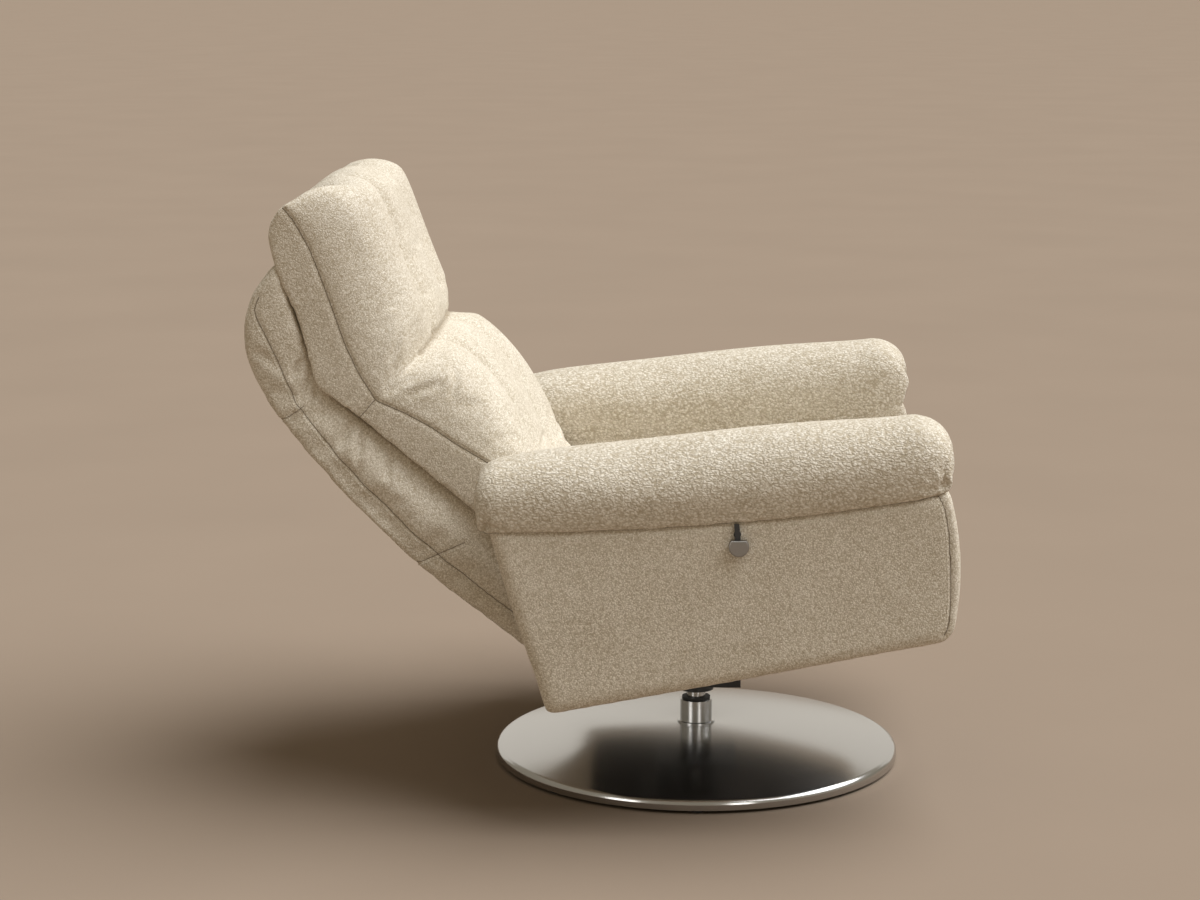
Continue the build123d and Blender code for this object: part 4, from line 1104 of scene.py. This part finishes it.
def grid_faces(rows, wide):
    """Squares of a grid whose points are listed row by row."""
    return [
        (r * wide + c, r * wide + c + 1, (r + 1) * wide + c + 1, (r + 1) * wide + c)
        for r in range(rows - 1)
        for c in range(wide - 1)
    ]


def sheet_of(name, corners, faces):
    mesh = bpy.data.meshes.new(name)
    mesh.from_pydata(corners, [], faces)
    mesh.shade_smooth()
    return linked(mesh, name)


def sheet_between(name, section, half_width):
    """Sheet through a side-view section, from one side to the other, and the section's length."""
    section = dense(section, 0.006)
    xs = [half_width * (2 * i / LINING_COLUMNS - 1) for i in range(LINING_COLUMNS + 1)]
    corners = [(x, p.y, p.z) for p in section for x in xs]
    length = sum((b - a).length for a, b in zip(section, section[1:]))
    return sheet_of(name, corners, grid_faces(len(section), len(xs))), length


seat_lining, seat_lining_length = sheet_between("seat_lining", SEAT_LINING, SEAT_LINING_HALF)
rear_lining, rear_lining_length = sheet_between("rear_lining", REAR_LINING, REAR_LINING_HALF)
print("linings", round(seat_lining_length, 3), round(rear_lining_length, 3))

# %% [markdown]
# ## The dust cloth underneath
# A thin dark cloth closes the seat's frame from below. It is a flat grid that sags a little from its edges,
# with an opening left where the tilt mechanism passes through.

# %% Underside cloth
UNDERSIDE_REAR, UNDERSIDE_AHEAD, UNDERSIDE_HALF = -176.0, 345.0, 0.297
HOLE_REAR, HOLE_AHEAD, HOLE_HALF = -57.0, 112.0, 0.050
UNDERSIDE_HIGH = 80.9
UNDERSIDE_SAG = 2.5
SAG_REACH = 60.0


def sagging(a, x):
    """A place of the cloth, lower the further it is from the nearest edge."""
    edge = min(a - UNDERSIDE_REAR, UNDERSIDE_AHEAD - a, (UNDERSIDE_HALF - abs(x)) / MM, SAG_REACH)
    return tuple(on_seat(a, UNDERSIDE_HIGH - UNDERSIDE_SAG * smooth_step(np.array(edge), 0, SAG_REACH), x))


def in_hole(face):
    a, x = np.mean([grid[corner] for corner in face], axis=0)
    return HOLE_REAR < a < HOLE_AHEAD and abs(x) < HOLE_HALF


longs = set(np.round(np.linspace(UNDERSIDE_REAR, UNDERSIDE_AHEAD, 27), 3)) | {HOLE_REAR, HOLE_AHEAD}
wides = set(np.round(np.linspace(-UNDERSIDE_HALF, UNDERSIDE_HALF, 31), 4)) | {-HOLE_HALF, HOLE_HALF}
grid = [(a, x) for a in sorted(longs) for x in sorted(wides)]
faces = [face for face in grid_faces(len(longs), len(wides)) if not in_hole(face)]
underside = sheet_of("underside_cloth", [sagging(a, x) for a, x in grid], faces)
print("underside", len(underside.data.polygons), "faces")

# %% [markdown]
# ## Webbing in the back
# Four wide straps between the uprights carry the back cushion. Each is a thin band that sags most in its
# middle.

# %% Back webbing
STRAPS_UP = (125, 195, 265, 335)
STRAP_HALF = 0.249
STRAP_HALF_WIDE = 23
STRAP_SAG = 3.0
STRAP_STEPS = 24


def add_strap(straps, up_middle):
    low, high = up_middle - STRAP_HALF_WIDE, up_middle + STRAP_HALF_WIDE
    ring = [(low, -113), (high, -113), (high, -111), (low, -111)]
    rows = []
    for i in range(STRAP_STEPS + 1):
        x = STRAP_HALF * (2 * i / STRAP_STEPS - 1)
        sag = STRAP_SAG * (1 - (x / STRAP_HALF) ** 2)
        rows.append([straps.verts.new(on_back(u, n - sag, x)) for u, n in ring])
    for a, b in zip(rows, rows[1:]):
        for i in range(4):
            straps.faces.new((a[i], a[(i + 1) % 4], b[(i + 1) % 4], b[i]))
    straps.faces.new(rows[0])
    straps.faces.new(rows[-1])


straps = bmesh.new()
for up_middle in STRAPS_UP:
    add_strap(straps, up_middle)
bmesh.ops.recalc_face_normals(straps, faces=straps.faces)
webbing = linked(mesh_from(straps, "webbing_straps"), "webbing_straps")
print("webbing", len(webbing.data.polygons), "faces")

# %% [markdown]
# ## Fine wear
# No surface is quite even. One shader group mixes fine grain with broad clouds, and lets the colour and the
# roughness follow the mix. Coats, wood, rubber and plain cloth all use it with their own values.

# %% Wear group
WEAR_DEPTH = 0.0004

wear = bpy.data.node_groups.new("fine wear", "ShaderNodeTree")
socket(wear, "Place", "NodeSocketVector")
socket(wear, "Grain per metre", "NodeSocketFloat", 400.0)
socket(wear, "Colour", "NodeSocketColor", (0.5, 0.5, 0.5, 1))
socket(wear, "Worn colour", "NodeSocketColor", (0.6, 0.6, 0.6, 1))
socket(wear, "Least roughness", "NodeSocketFloat", 0.3)
socket(wear, "Most roughness", "NodeSocketFloat", 0.5)
socket(wear, "Colour", "NodeSocketColor", output=True)
socket(wear, "Roughness", "NodeSocketFloat", output=True)
socket(wear, "Height", "NodeSocketFloat", output=True)
given = node(wear, "NodeGroupInput").outputs
speck = noise(wear, given["Place"], given["Grain per metre"], detail=4.0)["Fac"]
cloud = noise(wear, given["Place"], scale=14.0)["Fac"]
both = maths(wear, "ADD", maths(wear, "MULTIPLY", speck, 0.6), maths(wear, "MULTIPLY", cloud, 0.4))
span = node(wear, "ShaderNodeMapRange", {
    "Value": both, "To Min": given["Least roughness"], "To Max": given["Most roughness"],
})
node(wear, "NodeGroupOutput", {
    "Colour": mixed(wear, both, given["Colour"], given["Worn colour"]),
    "Roughness": span.outputs[0],
    "Height": speck,
})


def worn(name, colour, worn_colour, rough, grain, bump, metallic=0.0, stretch=(1, 1, 1)):
    material, tree, shader = material_with(name, Metallic=metallic)
    where = node(tree, "ShaderNodeTexCoord").outputs["Object"]
    place = node(tree, "ShaderNodeMapping", {"Vector": where, "Scale": stretch}).outputs["Vector"]
    look = node(tree, "ShaderNodeGroup", {
        "Place": place,
        "Grain per metre": grain,
        "Colour": colour,
        "Worn colour": worn_colour,
        "Least roughness": rough[0],
        "Most roughness": rough[1],
    }, node_tree=wear).outputs
    feed(tree, shader, {"Base Color": look["Colour"], "Roughness": look["Roughness"]})
    raise_relief(tree, shader, look["Height"], bump, WEAR_DEPTH)
    return material


print("group", wear.name, "with", len(wear.nodes), "nodes")

# %% [markdown]
# ## Turned steel
# The floor disc is stainless steel, turned on a lathe, so its fine scratches run in rings. Light on rings
# gathers into bright and dark wedges. The shader's anisotropy does this when its tangent points across the
# rings.

# %% Turned steel
RING_SCALE = 900.0
RING_DARK = 0.86


def turned_steel(name, colour, rough, anisotropy):
    """Steel with scratches in rings round the Z axis."""
    material, tree, shader = material_with(name, Metallic=1.0, Anisotropic=anisotropy)
    where = node(tree, "ShaderNodeTexCoord").outputs["Object"]
    parts = node(tree, "ShaderNodeSeparateXYZ", {0: where}).outputs
    squares = [maths(tree, "MULTIPLY", parts[axis], parts[axis]) for axis in "XY"]
    radius = maths(tree, "SQRT", maths(tree, "ADD", *squares))
    ring_place = node(tree, "ShaderNodeCombineXYZ", {"X": radius, "Z": parts["Z"]}).outputs[0]
    rings = noise(tree, ring_place, RING_SCALE, detail=3.0)["Fac"]
    span = node(tree, "ShaderNodeMapRange", {"Value": rings, "To Min": rough[0], "To Max": rough[1]})
    dark = tuple(c * RING_DARK for c in colour[:3]) + (1,)
    outward = node(tree, "ShaderNodeCombineXYZ", {"X": parts["X"], "Y": parts["Y"]})
    feed(tree, shader, {
        "Base Color": mixed(tree, rings, dark, colour),
        "Roughness": span.outputs[0],
        "Tangent": outward.outputs[0],
    })
    return material


stainless = turned_steel("turned_stainless", (0.62, 0.62, 0.62, 1), rough=(0.15, 0.26), anisotropy=0.65)
print("material", stainless.name)

# %% [markdown]
# ## Metal, wood, rubber and plastic
# The other hard finishes differ only in their values: colour, worn colour, roughness and grain. Wood and
# drawn steel stretch the grain along one axis. Every CAD node then takes the finish that its record names.

# %% Hard finishes
FINISHES = {
    "stainless": stainless,
    "black_steel": worn(
        "black_coat", (0.022, 0.022, 0.023, 1), (0.045, 0.045, 0.046, 1),
        rough=(0.35, 0.55), grain=700.0, bump=0.25,
    ),
    "bright_steel": worn(
        "bright_steel", (0.60, 0.60, 0.61, 1), (0.72, 0.72, 0.72, 1),
        rough=(0.2, 0.4), grain=500.0, bump=0.1, metallic=1.0, stretch=(0.2, 1, 1),
    ),
    "wood": worn(
        "beech", (0.55, 0.38, 0.22, 1), (0.66, 0.49, 0.31, 1),
        rough=(0.55, 0.75), grain=180.0, bump=0.3, stretch=(1, 0.06, 1),
    ),
    "black_plastic": worn(
        "black_plastic", (0.02, 0.02, 0.021, 1), (0.04, 0.04, 0.041, 1),
        rough=(0.45, 0.6), grain=900.0, bump=0.2,
    ),
    "glide_rubber": worn(
        "glide_rubber", (0.016, 0.016, 0.016, 1), (0.035, 0.034, 0.033, 1),
        rough=(0.7, 0.85), grain=600.0, bump=0.3,
    ),
    "knob_metal": worn(
        "knob_metal", (0.27, 0.265, 0.255, 1), (0.36, 0.35, 0.34, 1),
        rough=(0.3, 0.42), grain=800.0, bump=0.08, metallic=1.0,
    ),
    "lining": worn(
        "lining_cloth", (0.020, 0.019, 0.018, 1), (0.05, 0.048, 0.045, 1),
        rough=(0.85, 0.95), grain=1200.0, bump=0.5,
    ),
    "upholstery": body_cloth,
}
for row in frame["record"]["subparts"]:
    cad = frame["nodes"][row["node"]]
    cad.data.materials.clear()
    cad.data.materials.append(FINISHES[row["material_slot"]])

# %% [markdown]
# ## Dress the soft pieces
# Each soft piece takes its cloth and keeps its rest place as an attribute, so that the pattern of the cloth
# stays on it when a joint moves.

# %% Cloth on the pieces
def dress(piece, material):
    piece.data.materials.clear()
    piece.data.materials.append(material)
    layer = piece.data.attributes.new("rest_place", "FLOAT_VECTOR", "POINT")
    layer.data.foreach_set("vector", points_of(piece.data).astype(np.float32).ravel())
    shade_of(piece)


in_body_cloth = (
    back_cushion, shell, seat_pad, front_apron, arm_panel, arm_panel_right, seat_lining, rear_lining,
)
for piece in in_body_cloth:
    dress(piece, body_cloth)
for piece in (arm_pad, arm_pad_right):
    dress(piece, pad_cloth)
for piece in (underside, webbing):
    dress(piece, FINISHES["lining"])
print("dressed", len(in_body_cloth) + 4, "pieces")

# %% [markdown]
# ## Tie the pieces to the frame
# A piece that rides moves with one body: the seat's pieces and their sewing ride the seat, and the webbing
# rides the backrest. The back cushion, its shell, their sewing and the linings keep their places in the
# frame. The CAD nodes that the soft pieces stand for are hidden.

for piece in (back_cushion, shell) + back_sewing:
    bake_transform(piece)
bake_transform(seat_lining)
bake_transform(rear_lining)
for piece in (seat_pad, front_apron, arm_panel, arm_panel_right, arm_pad, arm_pad_right, underside):
    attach(piece, "seat")
for piece in seat_sewing:
    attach(piece, "seat")
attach(webbing, "backrest")

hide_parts("lumbar_cushion", "head_cushion")
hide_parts("back_shell", "head_shell")
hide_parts("seat_cushion")
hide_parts("front_panel")
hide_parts("arm_cover_left")
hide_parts("arm_cover_right")
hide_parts("arm_pad_left")
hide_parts("arm_pad_right")
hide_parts("underside_cover")
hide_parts("back_webbing")

# %% [markdown]

# %% [markdown]
# ## The floor
# A plain pale floor runs out of sight. It mirrors nothing, and a broad, faint noise keeps it from looking
# painted by a machine.

# %% Floor
FLOOR_TONE = (0.304, 0.241, 0.188)
FLOOR_REACH = 900.0

floor_mesh = bpy.data.meshes.new("floor")
corners = [math.radians(90 * i + 45) for i in range(4)]
floor_rim = [(FLOOR_REACH * math.cos(a), FLOOR_REACH * math.sin(a), 0) for a in corners]
floor_mesh.from_pydata(floor_rim, [], [(0, 1, 2, 3)])
floor = linked(floor_mesh, "floor")
floor_finish, tree, shader = material_with("floor_plain", Roughness=0.8, Specular_IOR_Level=0.0)
where = node(tree, "ShaderNodeTexCoord").outputs["Object"]
patches = noise(tree, where, scale=1.6, detail=5.0)["Fac"]
darker, lighter = [tuple(c * share for c in FLOOR_TONE) + (1,) for share in (0.95, 1.05)]
feed(tree, shader, {"Base Color": mixed(tree, patches, darker, lighter)})
floor.data.materials.append(floor_finish)
floor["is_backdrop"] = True
print("floor", floor.name)

# %% [markdown]
# ## Light
# The sky of the studio is even and pale, and one wide soft sun stands above the chair and a little in front,
# as in the photograph: tops are bright and the near side lies in half shade. One wide lamp beyond the chair
# and two narrow ones on the near side are seen only by mirroring surfaces: they give the turned steel
# something to show, and light no cloth.

# %% Studio
world = bpy.data.worlds.new("studio")
world.use_nodes = True
scene.world = world
feed(world.node_tree, world.node_tree.nodes["Background"], {
    "Color": (1.0, 0.88, 0.68, 1), "Strength": 0.30,
})


def hang(data, along):
    """Hangs a light that shines along a direction."""
    light = bpy.data.objects.new(data.name, data)
    light.rotation_euler = Vector(along).to_track_quat("-Z", "Y").to_euler()
    scene.collection.objects.link(light)
    return light


def soft_lamp(name, place, target, size, power):
    data = bpy.data.lights.new(name, "AREA")
    data.shape = "RECTANGLE"
    data.size, data.size_y = size
    data.energy = power
    data.color = (1, 0.97, 0.93)
    lamp = hang(data, Vector(target) - Vector(place))
    lamp.location = place
    lamp.visible_camera = False
    lamp.visible_diffuse = False


sun_data = bpy.data.lights.new("soft_sun", "SUN")
sun_data.energy = 3.95
sun_data.angle = math.radians(65)
sun_data.color = (0.985, 0.992, 1.0)
hang(sun_data, (-0.02, 0.62, -1.05))
soft_lamp("far_wall", place=(4.5, 0.0, 1.3), target=(0, 0, 0.2), size=(9.0, 2.4), power=30)
soft_lamp("near_front", place=(-3.0, -1.3, 0.7), target=(0, 0, 0.1), size=(0.7, 1.6), power=9)
soft_lamp("near_rear", place=(-2.6, 2.2, 0.7), target=(0, 0, 0.1), size=(1.0, 1.6), power=14)
scene.view_settings.view_transform = "Standard"
print("studio ready")

# %% [markdown]
# ## Sizes at the end
# Padding may swell past the CAD solids, but not far. The two boxes are kept, and the growth on each side is
# printed.

# %% Sizes and finish
shown_low, shown_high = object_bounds()
grown_low = [round((a - b) / MM, 1) for a, b in zip(cad_low, shown_low)]
grown_high = [round((b - a) / MM, 1) for a, b in zip(cad_high, shown_high)]
print("grown", grown_low, grown_high)
